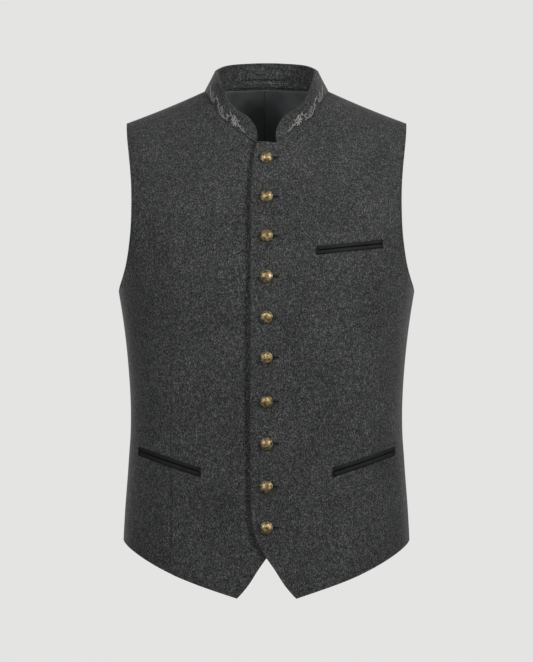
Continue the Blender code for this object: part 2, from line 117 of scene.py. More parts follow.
def seen_and_lit(owner, kind, output):
    """Shows the camera the backdrop's colour, and gives everything else an even white light."""
    owner.use_nodes = True
    tree = owner.node_tree
    tree.nodes.clear()
    seen = add_node(tree, kind, {"Color": linear(BACKDROP), "Strength": 1.0})
    lit = add_node(tree, kind, {"Color": linear("#FFFFFF"), "Strength": AMBIENT})
    ray = add_node(tree, "ShaderNodeLightPath")
    both = add_node(tree, "ShaderNodeMixShader", {
        "Fac": ray.outputs["Is Camera Ray"], 1: lit.outputs[0], 2: seen.outputs[0]})
    add_node(tree, output, {"Surface": both.outputs[0]})


world = bpy.data.worlds.new("studio")
bpy.context.scene.world = world
bpy.context.scene.view_settings.view_transform = "Standard"
seen_and_lit(world, "ShaderNodeBackground", "ShaderNodeOutputWorld")

# Places and sizes are in metres, and powers in watts
LIGHT_COLUMNS = ("name", "place", "size", "power")
LIGHTS = (
    ("right_softbox", (1.4, -1.35, 0.45), 0.7, 4.05),
    ("left_softbox", (-1.3, -1.65, 0.5), 0.9, 3.5),
    ("left_back", (-1.3, 2.2, 0.4), 1.2, 5.8),
    ("right_back", (1.5, 2.0, 0.3), 1.2, 4.8),
)
SPREAD = 75                # degrees, so the light falls off towards the shoulders and the hem
AIM = Vector((0, 0, -0.23))
for row in LIGHTS:
    light = dict(zip(LIGHT_COLUMNS, row))
    data = bpy.data.lights.new(light["name"], "AREA")
    data.shape = "DISK"
    data.size = light["size"]
    data.spread = math.radians(SPREAD)
    data.energy = light["power"]
    lamp = bpy.data.objects.new(light["name"], data)
    lamp.location = light["place"]
    lamp.rotation_euler = (AIM - lamp.location).to_track_quat("-Z", "Y").to_euler()
    bpy.context.scene.collection.objects.link(lamp)
print("lights:", len(LIGHTS))

# %% [markdown]
# ## Floor
#
# A plain pale floor lies well below the vest, which its wearer holds up. A lit floor would need lamps of
# its own to look as pale as the backdrop. This one glows as evenly as the backdrop does, so the two meet
# without a line, and it neither adds light nor takes any away.

# %% Lay the floor
FLOOR_HEIGHT = -1450       # where a standing wearer's feet would be
FLOOR_HALF = 3500

corners = [(x * FLOOR_HALF * MM, y * FLOOR_HALF * MM, FLOOR_HEIGHT * MM)
           for x, y in ((-1, -1), (1, -1), (1, 1), (-1, 1))]
floor_mesh = bpy.data.meshes.new("floor")
floor_mesh.from_pydata(corners, [], [(0, 1, 2, 3)])
floor = bpy.data.objects.new("floor", floor_mesh)
bpy.context.scene.collection.objects.link(floor)
pale = bpy.data.materials.new("pale_floor")
seen_and_lit(pale, "ShaderNodeEmission", "ShaderNodeOutputMaterial")
floor_mesh.materials.append(pale)
print("floor", round(FLOOR_HEIGHT * MM, 2), "m below the shoulders")

# %% [markdown]
# ## The worn form
#
# A filled-out vest shows its wearer's form without the wearer. That form could be sculpted or scanned,
# but it is smooth, and fourteen level sections from the shoulder down to the hem say all of it. The
# cloth follows the same sections as the CAD walls, so the two agree everywhere. The numbers are the
# part's own, in millimetres. "Left" and "right" are the wearer's.

# %% Walls, gaps and sections
WALL = 2.4
COLLAR_WALL = 3.5
LINING_WALL = 1.0
JET_WALL = 1.2
LOOP_WALL = 1.2
SEAM_GAP = 0.3
LAY_GAP = 0.5
LINING_GAP = 1.1

SECTION_COLUMNS = ("height", "half_width", "front_depth", "back_depth")
SECTIONS = (
    (-640, 183.5, 128, 112),
    (-530, 178.0, 122, 106),
    (-470, 173.6, 119, 100),
    (-410, 170.4, 119, 98),
    (-350, 173.3, 123, 103),
    (-300, 178.4, 127, 109),
    (-251, 186.0, 128, 114),
    (-210, 190.0, 126, 115),
    (-160, 193.5, 117, 111),
    (-100, 196.0, 95, 96),
    (-55, 197.0, 70, 78),
    (-20, 198.0, 44, 56),
    (-6, 198.0, 22, 30),
    (0, 198.0, 0, 0),
)
SQUARENESS = 2.4
UNDERARM = -251
NECK_X = 78.2
SHOULDER_FALL = 0.459
SHOULDER_HOLLOW = 0.000515
FRONT_CROWN = 70
BACK_CROWN_COLUMNS = ("x", "rise")
BACK_CROWN = (
    (0.0, 29.3), (14.0, 28.7), (28.0, 26.4), (41.0, 22.6),
    (53.0, 17.0), (63.0, 10.2), (71.0, 4.4), (NECK_X, 0.0),
)

# %% Curves through tables
def table_column(columns, rows, name):
    """One named column of a table."""
    place = columns.index(name)
    return [row[place] for row in rows]


def smooth_curve(places, values):
    """Returns a function that reads a smooth curve through the points, with no overshoot."""
    steps = [after - before for before, after in zip(places, places[1:])]
    grades = [(after - before) / step for before, after, step in zip(values, values[1:], steps)]
    slopes = [grades[0]]
    for before, after in zip(grades, grades[1:]):
        slopes.append(2 * before * after / (before + after) if before * after > 0 else 0.0)
    slopes.append(grades[-1])

    def read(place):
        if place <= places[0]:
            return values[0] + slopes[0] * (place - places[0])
        if place >= places[-1]:
            return values[-1] + slopes[-1] * (place - places[-1])
        k = bisect_right(places, place) - 1
        t = (place - places[k]) / steps[k]
        rise = values[k + 1] - values[k]
        return (values[k] + rise * t * t * (3 - 2 * t)
                + steps[k] * t * (1 - t) * (slopes[k] * (1 - t) - slopes[k + 1] * t))

    return read


def by_row(values):
    """A smooth curve through values that stand at rows 0, 1, 2 and on."""
    return smooth_curve(list(range(len(values))), list(values))


def mix(low, high, share):
    return low + (high - low) * share


def soft_step(low, high, at):
    """Runs smoothly from 0 at low to 1 at high."""
    t = min(max((at - low) / (high - low), 0.0), 1.0)
    return t * t * (3 - 2 * t)


# %% Curves of the body's sections
def table_curve(columns, rows, place, name):
    """A smooth curve through one named column of a table, over another one."""
    return smooth_curve(table_column(columns, rows, place), table_column(columns, rows, name))


section_heights = table_column(SECTION_COLUMNS, SECTIONS, "height")
half_width = table_curve(SECTION_COLUMNS, SECTIONS, "height", "half_width")
front_square = smooth_curve(
    section_heights, [d * d for d in table_column(SECTION_COLUMNS, SECTIONS, "front_depth")])
back_square = smooth_curve(
    section_heights, [d * d for d in table_column(SECTION_COLUMNS, SECTIONS, "back_depth")])
back_crown = table_curve(BACK_CROWN_COLUMNS, BACK_CROWN, "x", "rise")
print("half width at the chest:", round(half_width(UNDERARM), 1), "mm")

# %% Points of the body
TURN_STEP = 0.4            # degrees and millimetres over which the form's direction is measured
HEIGHT_STEP = 1.0
HALVINGS = 40              # enough to find a height exactly


def shoulder_line(x, in_front):
    """Height of the shoulder seam over x, carried on towards the centre as a soft crown."""
    if not in_front and x < NECK_X:
        return back_crown(x)
    out = max(x, FRONT_CROWN) - NECK_X
    height = SHOULDER_HOLLOW * out * out - SHOULDER_FALL * out
    if x < FRONT_CROWN:
        slope = SHOULDER_FALL - 2 * SHOULDER_HOLLOW * out
        height += slope * (FRONT_CROWN * FRONT_CROWN - x * x) / (2 * FRONT_CROWN)
    return height


def body_point(turn, height):
    """A point of the worn form: turn 0 is centre front, 90 the left side and 180 centre back."""
    across = math.sin(math.radians(turn))
    in_front = math.cos(math.radians(turn)) >= 0
    square = front_square(height) if in_front else back_square(height)
    depth = math.sqrt(max(square, 0.0)) * max(1 - abs(across) ** SQUARENESS, 0.0) ** (1 / SQUARENESS)
    x = half_width(height) * across
    z = height + soft_step(UNDERARM, 0, height) * shoulder_line(abs(x), in_front)
    return Vector((x, -depth if in_front else depth, z))


def body_normal(turn, height):
    """The outward direction of the worn form, taken across the ridge at the shoulder seam."""
    across = body_point(turn + TURN_STEP, height) - body_point(turn - TURN_STEP, height)
    if height > -HEIGHT_STEP:
        lower = height - HEIGHT_STEP
        along = body_point(180 - turn, lower) - body_point(turn, lower)
    else:
        along = body_point(turn, height + HEIGHT_STEP) - body_point(turn, height - HEIGHT_STEP)
    return across.cross(along).normalized()


def turn_at(x, height):
    """The turn on the front at which the form reaches x."""
    return math.degrees(math.asin(max(-1.0, min(1.0, x / half_width(height)))))


def height_at(x, z, in_front=True):
    """The section height at which the form passes through x and z, seen from the front."""
    line = shoulder_line(abs(x), in_front)
    low, high = section_heights[0], 0.0
    for _ in range(HALVINGS):
        middle = (low + high) / 2
        if middle + soft_step(UNDERARM, 0, middle) * line < z:
            low = middle
        else:
            high = middle
    return (low + high) / 2


print("front depth at the chest:", round(-body_point(0, UNDERARM).y, 1), "mm")

# %% [markdown]
# ## The pattern of the panels
#
# A tailor cuts each panel flat and gives it its form with seams and darts. Blender could drape such flat
# cuts, but the photo shows the finished outlines, and draped ones would drift from them. So each panel
# is drawn on the form, as a grid of rows from hem to shoulder. The tables hold its outlines: the free
# front edge, the side seam, the armhole, the neckline and the hem.

# %% Outline tables
EDGE_COLUMNS = ("x", "z")
FRONT_EDGE = (
    (35.8, -624.6), (21.8, -608.5), (9.9, -590.0), (-2.1, -573.0), (-9.6, -560.0),
    (-14.4, -548.0), (-17.6, -533.0), (-19.0, -512.0), (-19.8, -476.0), (-20.0, -430.0),
    (-19.9, -384.0), (-19.8, -338.0), (-19.7, -292.0), (-19.6, -267.0), (-19.5, -243.0),
    (-19.4, -220.0), (-19.3, -198.0), (-19.2, -177.0), (-19.0, -157.0), (-18.8, -138.0),
    (-18.2, -121.0), (-17.3, -106.0), (-16.0, -94.0), (-14.0, -82.5), (-11.6, -71.5),
)
SIDE_SEAM = (-562, -553, -541, -528, -514, -498, -480, -456, -425, -388, -344, -298, -251)
FRONT_ARMHOLE = (
    (182.9, -245.5), (178.6, -235.0), (174.3, -221.0), (170.6, -201.0), (168.0, -177.0), (167.2, -150.0),
    (167.8, -124.0), (169.7, -101.0), (172.2, -80.0), (174.4, -62.0), (175.8, -48.0), (176.4, -40.1),
)
BACK_ARMHOLE = (
    (183.3, -245.5), (179.4, -235.0), (175.4, -221.0), (172.1, -201.0), (170.2, -177.0), (169.6, -150.0),
    (170.1, -124.0), (171.6, -101.0), (173.6, -80.0), (175.1, -62.0), (176.0, -48.0), (176.4, -40.1),
)
BACK_CENTRE = (*SIDE_SEAM, -226, -202, -179, -157, -136, -116, -97, -79, -62, -46, -31, -18)
FRONT_HEM = (
    (35.8, -624.6), (63.5, -615.8), (102.5, -602.5), (133.5, -589.2), (157.9, -576.8),
    (167.6, -571.3), (176.0, -566.0), (181.0, -562.0),
)
FRONT_NECK = (
    (12.5, -71.5), (26.5, -61.8), (39.5, -53.4), (50.5, -45.2), (59.6, -34.3),
    (66.5, -21.8), (72.0, -11.0), (76.2, -3.4), (NECK_X, 0.0),
)                          # the collar starts at its first point
BACK_NECK_COLUMNS = ("x", "height")
BACK_NECK = (
    (0.0, -18.4), (14.0, -18.0), (28.0, -16.6), (41.0, -13.8), (53.0, -9.8),
    (63.0, -5.8), (71.0, -2.5), (76.2, -0.6), (NECK_X, 0.0),
)

# %% How the grids run
ROWS = len(FRONT_EDGE) - 1
UNDERARM_ROW = len(SIDE_SEAM) - 1
EDGE_SPANS = 2
NECK_SPANS = len(FRONT_NECK) - 1
SHOULDER_SPANS = 7
FRONT_SPANS = EDGE_SPANS + NECK_SPANS + SHOULDER_SPANS
BACK_SPANS = NECK_SPANS + SHOULDER_SPANS
HEM_ROWS = 8
LAP_WIDTH = 22             # the left front lies over the right one out to here
LAP_FADE = 75              # and lies on the body from here on
EDGE_STRIP = 24            # the least width of the grid's first two spans
DART_X = 117               # the dart below each armhole, and the grid's column that follows it
DART_DEPTH = 1.3
DART_WIDTH = 1.1
DART_TOP = -262
DART_FULL = -330
BACK_GUIDE_X = 128

edge_x = by_row(table_column(EDGE_COLUMNS, FRONT_EDGE, "x"))
edge_height = by_row([height_at(x, z) for x, z in FRONT_EDGE])
hem_height = table_curve(EDGE_COLUMNS, FRONT_HEM, "x", "z")
neck_x = by_row(table_column(EDGE_COLUMNS, FRONT_NECK, "x"))
neck_height = by_row([height_at(x, z) for x, z in FRONT_NECK])
back_neck_x = by_row(table_column(BACK_NECK_COLUMNS, BACK_NECK, "x"))
back_neck_height = by_row(table_column(BACK_NECK_COLUMNS, BACK_NECK, "height"))
back_centre = by_row(BACK_CENTRE)


def outer_edge(armhole, in_front):
    """Turn and height of a panel's outer edge by row: the side seam, then the armhole."""
    turns = [90.0] * len(SIDE_SEAM)
    heights = list(SIDE_SEAM)
    for x, z in armhole:
        height = height_at(x, z, in_front)
        turns.append(turn_at(x, height))
        heights.append(height)
    return by_row(turns), by_row(heights)


front_outer_turn, front_outer_height = outer_edge(FRONT_ARMHOLE, True)
back_outer_turn, back_outer_height = outer_edge(BACK_ARMHOLE, False)

# %% Places in a front's pattern
def front_place(column, row):
    """Turn and height of a point of the left front's pattern, by column from its free edge and by row."""
    start = edge_x(row)
    collar_x = max(FRONT_NECK[0][0], start + EDGE_STRIP)
    upper = soft_step(UNDERARM_ROW, ROWS, row)
    neck_column = column - EDGE_SPANS
    level = edge_height(row)
    guide_turn = turn_at(mix(DART_X, NECK_X, upper), mix(level, 0, upper))
    if neck_column <= 0:
        turn = turn_at(mix(start, collar_x, column / EDGE_SPANS), level)
    elif neck_column <= NECK_SPANS:
        even = mix(collar_x, DART_X, neck_column / NECK_SPANS)
        turn = turn_at(mix(even, neck_x(neck_column), upper), level)
        turn = mix(turn, guide_turn, upper * neck_column / NECK_SPANS)
    else:
        share = (neck_column - NECK_SPANS) / SHOULDER_SPANS
        turn = mix(guide_turn, front_outer_turn(row), share)
    return turn, level


def root(height):
    """Square root of the drop below the shoulder, in which the rounding of the shoulder is even."""
    return math.sqrt(max(-height, 0.0))


def drawn_up(row, share, inner, outer, top_share, top):
    """Height above the underarm: between a panel's inner and outer edges, drawn up to its top line."""
    here = mix(root(inner(row)), root(outer(row)), share)
    at_top = mix(root(inner(ROWS)), root(outer(ROWS)), top_share)
    rise = (row - UNDERARM_ROW) / (ROWS - UNDERARM_ROW)
    return -max(here + (root(top) - at_top) * rise, 0.0) ** 2


def front_share(row, turn):
    """How far a point lies from the lap to the outer edge; rows are level inside the lap."""
    lap_turn = turn_at(max(LAP_WIDTH, edge_x(row)), edge_height(row))
    return max(turn - lap_turn, 0.0) / (front_outer_turn(row) - lap_turn)


def front_height(column, row, turn):
    """Section height of a point of the left front."""
    share = front_share(row, turn)
    if row > UNDERARM_ROW:
        top_share = front_share(ROWS, front_place(column, ROWS)[0])
        top = neck_height(min(max(column - EDGE_SPANS, 0), NECK_SPANS))
        return drawn_up(row, share, edge_height, front_outer_height, top_share, top)
    height = mix(edge_height(row), front_outer_height(row), share)
    if row < HEM_ROWS:
        hem_turn = front_place(column, 0)[0]
        hem_x = half_width(SIDE_SEAM[0]) * math.sin(math.radians(hem_turn))
        straight = mix(edge_height(0), front_outer_height(0), front_share(0, hem_turn))
        height += (hem_height(hem_x) - straight) * (1 - row / HEM_ROWS)
    return height


print("height of the front's underarm point:", round(front_outer_height(UNDERARM_ROW), 1), "mm")

# %% Points of a front
def lap_lift(x):
    """How far the left front stands out from the body over the right one."""
    return (WALL + LAY_GAP) * (1 - soft_step(LAP_WIDTH, LAP_FADE, x))


def left_front_point(column, row, out=0.0, lapped=True):
    """A point of the left front's outer face, or of the same pattern moved outwards by out."""
    turn, _ = front_place(column, row)
    height = front_height(column, row, turn)
    if row == ROWS and EDGE_SPANS < column <= EDGE_SPANS + NECK_SPANS:
        turn = turn_at(neck_x(column - EDGE_SPANS), height)
    point = body_point(turn, height)
    if lapped:
        out += lap_lift(point.x)
    if row == ROWS and column >= EDGE_SPANS + NECK_SPANS:
        point.y -= SEAM_GAP / 2
    if column == FRONT_SPANS and row <= UNDERARM_ROW:
        point.y -= SEAM_GAP / 2
    return point + body_normal(turn, height) * out


def mirrored(point):
    return Vector((-point.x, point.y, point.z))


def right_front_point(column, row, out=0.0):
    """The right front is the left one mirrored, and lies flat on the body under the lap."""
    return mirrored(left_front_point(column, row, out, lapped=False))


print("the neck point stands at x", round(left_front_point(EDGE_SPANS + NECK_SPANS, ROWS).x, 1), "mm")

# %% Points of a back
def left_back_point(column, row, out=0.0):
    """A point of the left back's outer face, by column from the centre seam and by row."""
    upper = soft_step(UNDERARM_ROW, ROWS, row)
    level = back_centre(row)
    guide_turn = turn_at(mix(BACK_GUIDE_X, NECK_X, upper), mix(level, 0, upper))
    if column <= NECK_SPANS:
        even = guide_turn * column / NECK_SPANS
        top = turn_at(back_neck_x(column), back_neck_height(column))
        turn = mix(even, top, upper)
    else:
        turn = mix(guide_turn, back_outer_turn(row), (column - NECK_SPANS) / SHOULDER_SPANS)
    share = turn / back_outer_turn(row)
    if row > UNDERARM_ROW:
        if column <= NECK_SPANS:
            top = back_neck_height(column)
            top_turn = turn_at(back_neck_x(column), top)
        else:
            top = 0.0
            part = (column - NECK_SPANS) / SHOULDER_SPANS
            top_turn = mix(turn_at(NECK_X, 0), back_outer_turn(ROWS), part)
        top_share = top_turn / back_outer_turn(ROWS)
        height = drawn_up(row, share, back_centre, back_outer_height, top_share, top)
    else:
        height = mix(level, back_outer_height(row), share)
    point = body_point(180 - turn, height)
    if column == 0:
        point.x += SEAM_GAP / 2
    if row == ROWS and column >= NECK_SPANS:
        point.y += SEAM_GAP / 2
    if column == BACK_SPANS and row <= UNDERARM_ROW:
        point.y += SEAM_GAP / 2
    return point + body_normal(180 - turn, height) * out


def right_back_point(column, row, out=0.0):
    return mirrored(left_back_point(column, row, out))


print("front grid", FRONT_SPANS, "by", ROWS, "and back grid", BACK_SPANS, "by", ROWS)

# %% [markdown]
# ## Fine sheets through coarse grids
#
# The CAD wall is coarse, and a subdivision surface would draw it in. A spline runs through every point
# of a panel's grid instead, so the fine sheet meets the wall at each of them and is smooth in between.
# Lines stand closer along the edges, where the stitching is. The real cloth has a thickness and a turned
# edge, so each sheet is closed, and its edge is rounded.

# %% Spline and sheet helpers
def fine_places(counts):
    """Places along a grid whose span k is split into counts[k] parts."""
    places = [k + part / count for k, count in enumerate(counts) for part in range(count)]
    return np.array(places + [len(counts)])


def spline_weights(count, places):
    """A matrix that reads a smooth curve through count points at the given places."""
    table = np.zeros((len(places), count + 2))
    for row, place in enumerate(places):
        k = min(int(place), count - 2)
        t = place - k
        table[row, k:k + 4] = (
            (-t + 2 * t ** 2 - t ** 3) / 2,
            (2 - 5 * t ** 2 + 3 * t ** 3) / 2,
            (t + 4 * t ** 2 - 3 * t ** 3) / 2,
            (t ** 3 - t ** 2) / 2,
        )
    ends = np.zeros((count + 2, count))
    ends[1:-1] = np.eye(count)
    ends[0, :3] = 3, -3, 1
    ends[-1, -3:] = 1, -3, 3
    return table @ ends


def fine_grid(grid, row_places, column_places):
    rows = spline_weights(grid.shape[0], row_places)
    columns = spline_weights(grid.shape[1], column_places)
    return np.einsum("vr,rcx,uc->vux", rows, grid, columns)


def unit(vectors):
    return vectors / np.maximum(np.linalg.norm(vectors, axis=-1, keepdims=True), 1e-9)


def outward_normals(points, centre):
    """Unit normals of a fine grid, pointing away from a centre point."""
    normals = unit(np.cross(np.gradient(points, axis=1), np.gradient(points, axis=0)))
    side = np.sign((normals * (points - np.array(centre))).sum())
    return normals * side


def distance_from(points, side):
    """Distance in millimetres of each grid point from one side of the sheet, measured along the cloth."""
    axis = 1 if side in ("start", "end") else 0
    steps = np.linalg.norm(np.diff(points, axis=axis), axis=-1)
    zero = np.zeros_like(steps[:, :1] if axis else steps[:1])
    run = np.cumsum(np.concatenate([zero, steps], axis=axis), axis=axis)
    if side in ("start", "bottom"):
        return run
    return (run[:, -1:] if axis else run[-1:]) - run


# %% Closed cloth with a rounded edge
RIM_SEGMENTS = 6


def outline(grid):
    """A grid's outline, once round."""
    return np.concatenate([grid[0, :-1], grid[:-1, -1], grid[-1, :0:-1], grid[:0:-1, 0]])


def add_mesh(name, places, faces):
    """A smooth mesh object from points in millimetres."""
    mesh = bpy.data.meshes.new(name)
    mesh.from_pydata([tuple(place) for place in np.asarray(places) * MM], [], faces)
    mesh.validate()
    mesh.shade_smooth()
    piece = bpy.data.objects.new(name, mesh)
    bpy.context.scene.collection.objects.link(piece)
    return piece


def across_edge(edge, within, behind):
    """Unit directions that lead straight out of a sheet across one of its edges."""
    aside = unit(np.cross(np.gradient(edge, axis=0), edge - behind))
    return aside * np.sign((aside * (edge - within)).sum(axis=-1, keepdims=True))


def cloth(name, outer, inner, rounding, reach=0.0):
    """A closed sheet between two grids. Its edge is rounded, and may reach on into a seam."""
    rows, columns = outer.shape[:2]
    rounding = np.broadcast_to(rounding, (rows, columns))[..., None]
    reach = np.broadcast_to(reach, (rows, columns))[..., None]
    aside = np.zeros_like(outer)
    for edge, within in ((0, 1), (-1, -2)):
        aside[edge] += across_edge(outer[edge], outer[within], inner[edge])
        aside[:, edge] += across_edge(outer[:, edge], outer[:, within], inner[:, edge])
    aside = unit(aside)        # a corner leans out between its two edges
    middle, half = (outer + inner) / 2, (outer - inner) / 2
    places = [(outer - aside * rounding).reshape(-1, 3), (inner - aside * rounding).reshape(-1, 3)]
    for k in range(1, RIM_SEGMENTS):
        angle = math.pi * k / RIM_SEGMENTS
        bulge = (rounding + reach) * math.sin(angle) - rounding
        places.append(outline(middle + aside * bulge + half * math.cos(angle)))
    index = np.arange(rows * columns).reshape(rows, columns)
    corners = [index[:-1, :-1], index[:-1, 1:], index[1:, 1:], index[1:, :-1]]
    face = np.stack([corner.ravel() for corner in corners], axis=-1)
    faces = face.tolist() + (face[:, ::-1] + rows * columns).tolist()
    ring = outline(index)
    size = len(ring)
    loops = [ring] + [2 * rows * columns + k * size + np.arange(size) for k in range(RIM_SEGMENTS - 1)]
    loops.append(ring + rows * columns)
    for low, high in zip(loops, loops[1:]):
        quads = np.stack([high, np.roll(high, -1), np.roll(low, -1), low], axis=-1)
        faces += quads.tolist()
    piece = add_mesh(name, np.concatenate(places), faces)
    if piece.data.polygons[0].normal.dot(Vector(outer[0, 0] - inner[0, 0])) < 0:
        piece.data.flip_normals()
    return piece


# %% [markdown]
# ## Soft creases
#
# The cloth is thick and lies smoothly, with only shallow hollows and ridges: one beside the armhole,
# some drag at the waist and soft flutes towards the hem. A cloth simulation would make others than the
# photo's. So each crease is listed, as a line on the panel with a width and a depth. The hidden
# back has similar ones.

# %% Crease tables
CREASE_COLUMNS = ("x1", "z1", "x2", "z2", "width", "depth")
FRONT_CREASES = (
    (-150, -162, -140, -222, 9, -1.5),
    (-163, -255, -123, -197, 8, -1.1),
    (-132, -176, -104, -232, 10, 0.9),
    (-58, -140, -54, -248, 17, 1.0),
    (-105, -62, -100, -112, 20, -1.1),
    (-141, -128, -72, -46, 12, 0.8),
    (-40, -420, -37, -492, 12, 0.8),
    (-84, -500, -92, -600, 12, -1.0),
    (-122, -490, -130, -560, 12, 0.9),
    (-150, -330, -146, -420, 10, 0.9),
    (146, -218, 104, -266, 9, -1.1),
    (134, -180, 152, -222, 9, 0.7),
    (142, -122, 80, -50, 13, 0.9),
    (62, -90, 70, -150, 18, -0.8),
    (30, -362, 74, -358, 6, -0.7),
    (32, -378, 66, -380, 7, 0.5),
    (66, -478, 72, -572, 12, -0.9),
    (102, -500, 110, -584, 13, 0.9),
    (146, -340, 144, -420, 10, 0.8),
    (150, -480, 160, -548, 9, -0.8),
)
BACK_CREASES = (
    (150, -190, 84, -236, 10, -1.2),
    (-152, -186, -90, -224, 11, -1.3),
    (-140, -216, -70, -262, 10, 0.8),
    (132, -226, 66, -270, 12, 0.9),
    (24, -396, 96, -384, 8, -1.2),
    (-30, -372, -104, -384, 9, -1.1),
    (20, -372, 80, -360, 9, 0.8),
    (-24, -396, -86, -408, 9, 0.9),
    (60, -430, 70, -550, 13, 1.2),
    (94, -440, 104, -552, 12, -1.2),
    (-52, -436, -60, -552, 14, 1.1),
    (-92, -430, -100, -556, 12, -1.0),
    (-132, -450, -140, -552, 11, 0.9),
    (132, -452, 142, -552, 11, 0.8),
    (70, -40, 96, -116, 14, 0.9),
    (-72, -44, -90, -124, 15, 0.8),
)
LAP_REST = 24              # creases fade out towards the lap, where two fronts lie on each other
LAP_HOLLOW = 2.3           # how far the right front sinks in beside the left one's edge
HOLLOW_PLACE = 3.5         # from that edge
HOLLOW_WIDTH = 7.5
HOLLOW_END = -590          # it has faded out at this height
HOLLOW_FADE = 40
LAP_CURL = 1.1             # how far that edge stands off
CURL_WIDTH = 7
print("creases:", len(FRONT_CREASES), "on the fronts and", len(BACK_CREASES), "on the back")

# %% Height of the creases
def creases(x, z, in_front=True):
    """Height of the creases over the worn form, in millimetres."""
    total = 0.0 * x
    for row in FRONT_CREASES if in_front else BACK_CREASES:
        crease = dict(zip(CREASE_COLUMNS, row))
        run_x, run_z = crease["x2"] - crease["x1"], crease["z2"] - crease["z1"]
        along = ((x - crease["x1"]) * run_x + (z - crease["z1"]) * run_z) / (run_x ** 2 + run_z ** 2)
        along = np.clip(along, 0, 1)
        square = (x - crease["x1"] - run_x * along) ** 2 + (z - crease["z1"] - run_z * along) ** 2
        total = total + crease["depth"] * np.exp(-square / crease["width"] ** 2)
    if in_front:
        total = total * (1 - np.exp(-(np.abs(x) / LAP_REST) ** 4))
    return total


def lap_hollow(x, z):
    """The hollow in the right front beside the left front's free edge, fading out towards the hem."""
    beside = np.interp(z, [z for _, z in FRONT_EDGE], [x for x, _ in FRONT_EDGE]) - x
    fade = np.clip((z - HOLLOW_END) / HOLLOW_FADE, 0, 1)
    return -LAP_HOLLOW * np.exp(-((beside - HOLLOW_PLACE) / HOLLOW_WIDTH) ** 2) * fade


# %% [markdown]
# ## Fronts and backs
#
# Two fronts and two backs make the vest's body. The edges that show are folded and stitched down, so a
# shallow groove runs beside them. A bump map could draw it, but only real relief shows from the side.
# Seams have a much smaller radius than folded edges, so they read as fine lines. A dart is a groove too,
# where a fold of cloth is sewn away on the inside.

# %% Edges, seams and grooves
EDGE_RADIUS = 1.1
SEAM_RADIUS = 0.4
SEAM_REACH = 0.25          # how far a seam's edge is pressed towards its neighbour
EDGE_STITCH = 5.6          # from the free front edge
RIM_STITCH = 3.4           # from the hem and the armhole
GROOVE_WIDTH = 0.9
GROOVE_DEPTH = 0.38
SIDE_CORNER = (3, 6)       # columns from the outer edge that turn the underarm's corner, and its fade
TOP_CORNER = (4, 9)        # rows from the top that turn the neck point's corner, and its fade
BODY_MIDDLE = (0, 0, -300)
LINE_FINENESS = 8          # close points for each one of a fine grid's edge
ARMHOLE_ROUNDING = 4       # the edge turns from seam to fold over a quarter of a row
# How many fine spans each column and row of the grid is split into
FRONT_COLUMNS = [12, 12] + [5] * (NECK_SPANS - 1) + [16, 14] + [4] * (SHOULDER_SPANS - 2) + [9]
BACK_COLUMNS = [5] * NECK_SPANS + [4] * (SHOULDER_SPANS - 1) + [9]
PANEL_ROWS = [10] + [5] * (UNDERARM_ROW - 2) + [10, 12] + [5] * (ROWS - UNDERARM_ROW - 1)
print("fine spans of a front:", sum(FRONT_COLUMNS), "by", sum(PANEL_ROWS))

# %% Grooves, and fine grids with corners
def groove(distance, middle, depth=GROOVE_DEPTH):
    return -depth * np.exp(-((distance - middle) / GROOVE_WIDTH) ** 2)


def near_end(places, full, fade):
    """Is 1 over the last spans of a row of places, and fades out smoothly before them."""
    share = np.clip((places - places[-1] + fade) / (fade - full), 0, 1)
    return share * share * (3 - 2 * share)


def split_rows(grid, rows, columns, corner):
    """A fine grid that turns a corner at one of its rows instead of running smoothly through it."""
    below = fine_grid(grid[:corner + 1], rows[rows <= corner], columns)
    above = fine_grid(grid[corner:], rows[rows > corner] - corner, columns)
    return np.concatenate([below, above])


def panel_grid(coarse, rows, columns, neck_column):
    """A panel's fine grid: smooth inside, with corners at the underarm and the neck point."""
    smooth = fine_grid(coarse, rows, columns)
    side = split_rows(coarse, rows, columns, UNDERARM_ROW)
    top = split_rows(coarse.transpose(1, 0, 2), columns, rows, neck_column).transpose(1, 0, 2)
    smooth = mix(smooth, side, near_end(columns, *SIDE_CORNER)[None, :, None])
    return mix(smooth, top, near_end(rows, *TOP_CORNER)[:, None, None])


def distance_to_line(points, line):
    """Distance of each grid point from a line of close points."""
    nearest = np.full(points.shape[:2], np.inf)
    for place in line:
        nearest = np.minimum(nearest, np.linalg.norm(points - place, axis=-1))
    return nearest


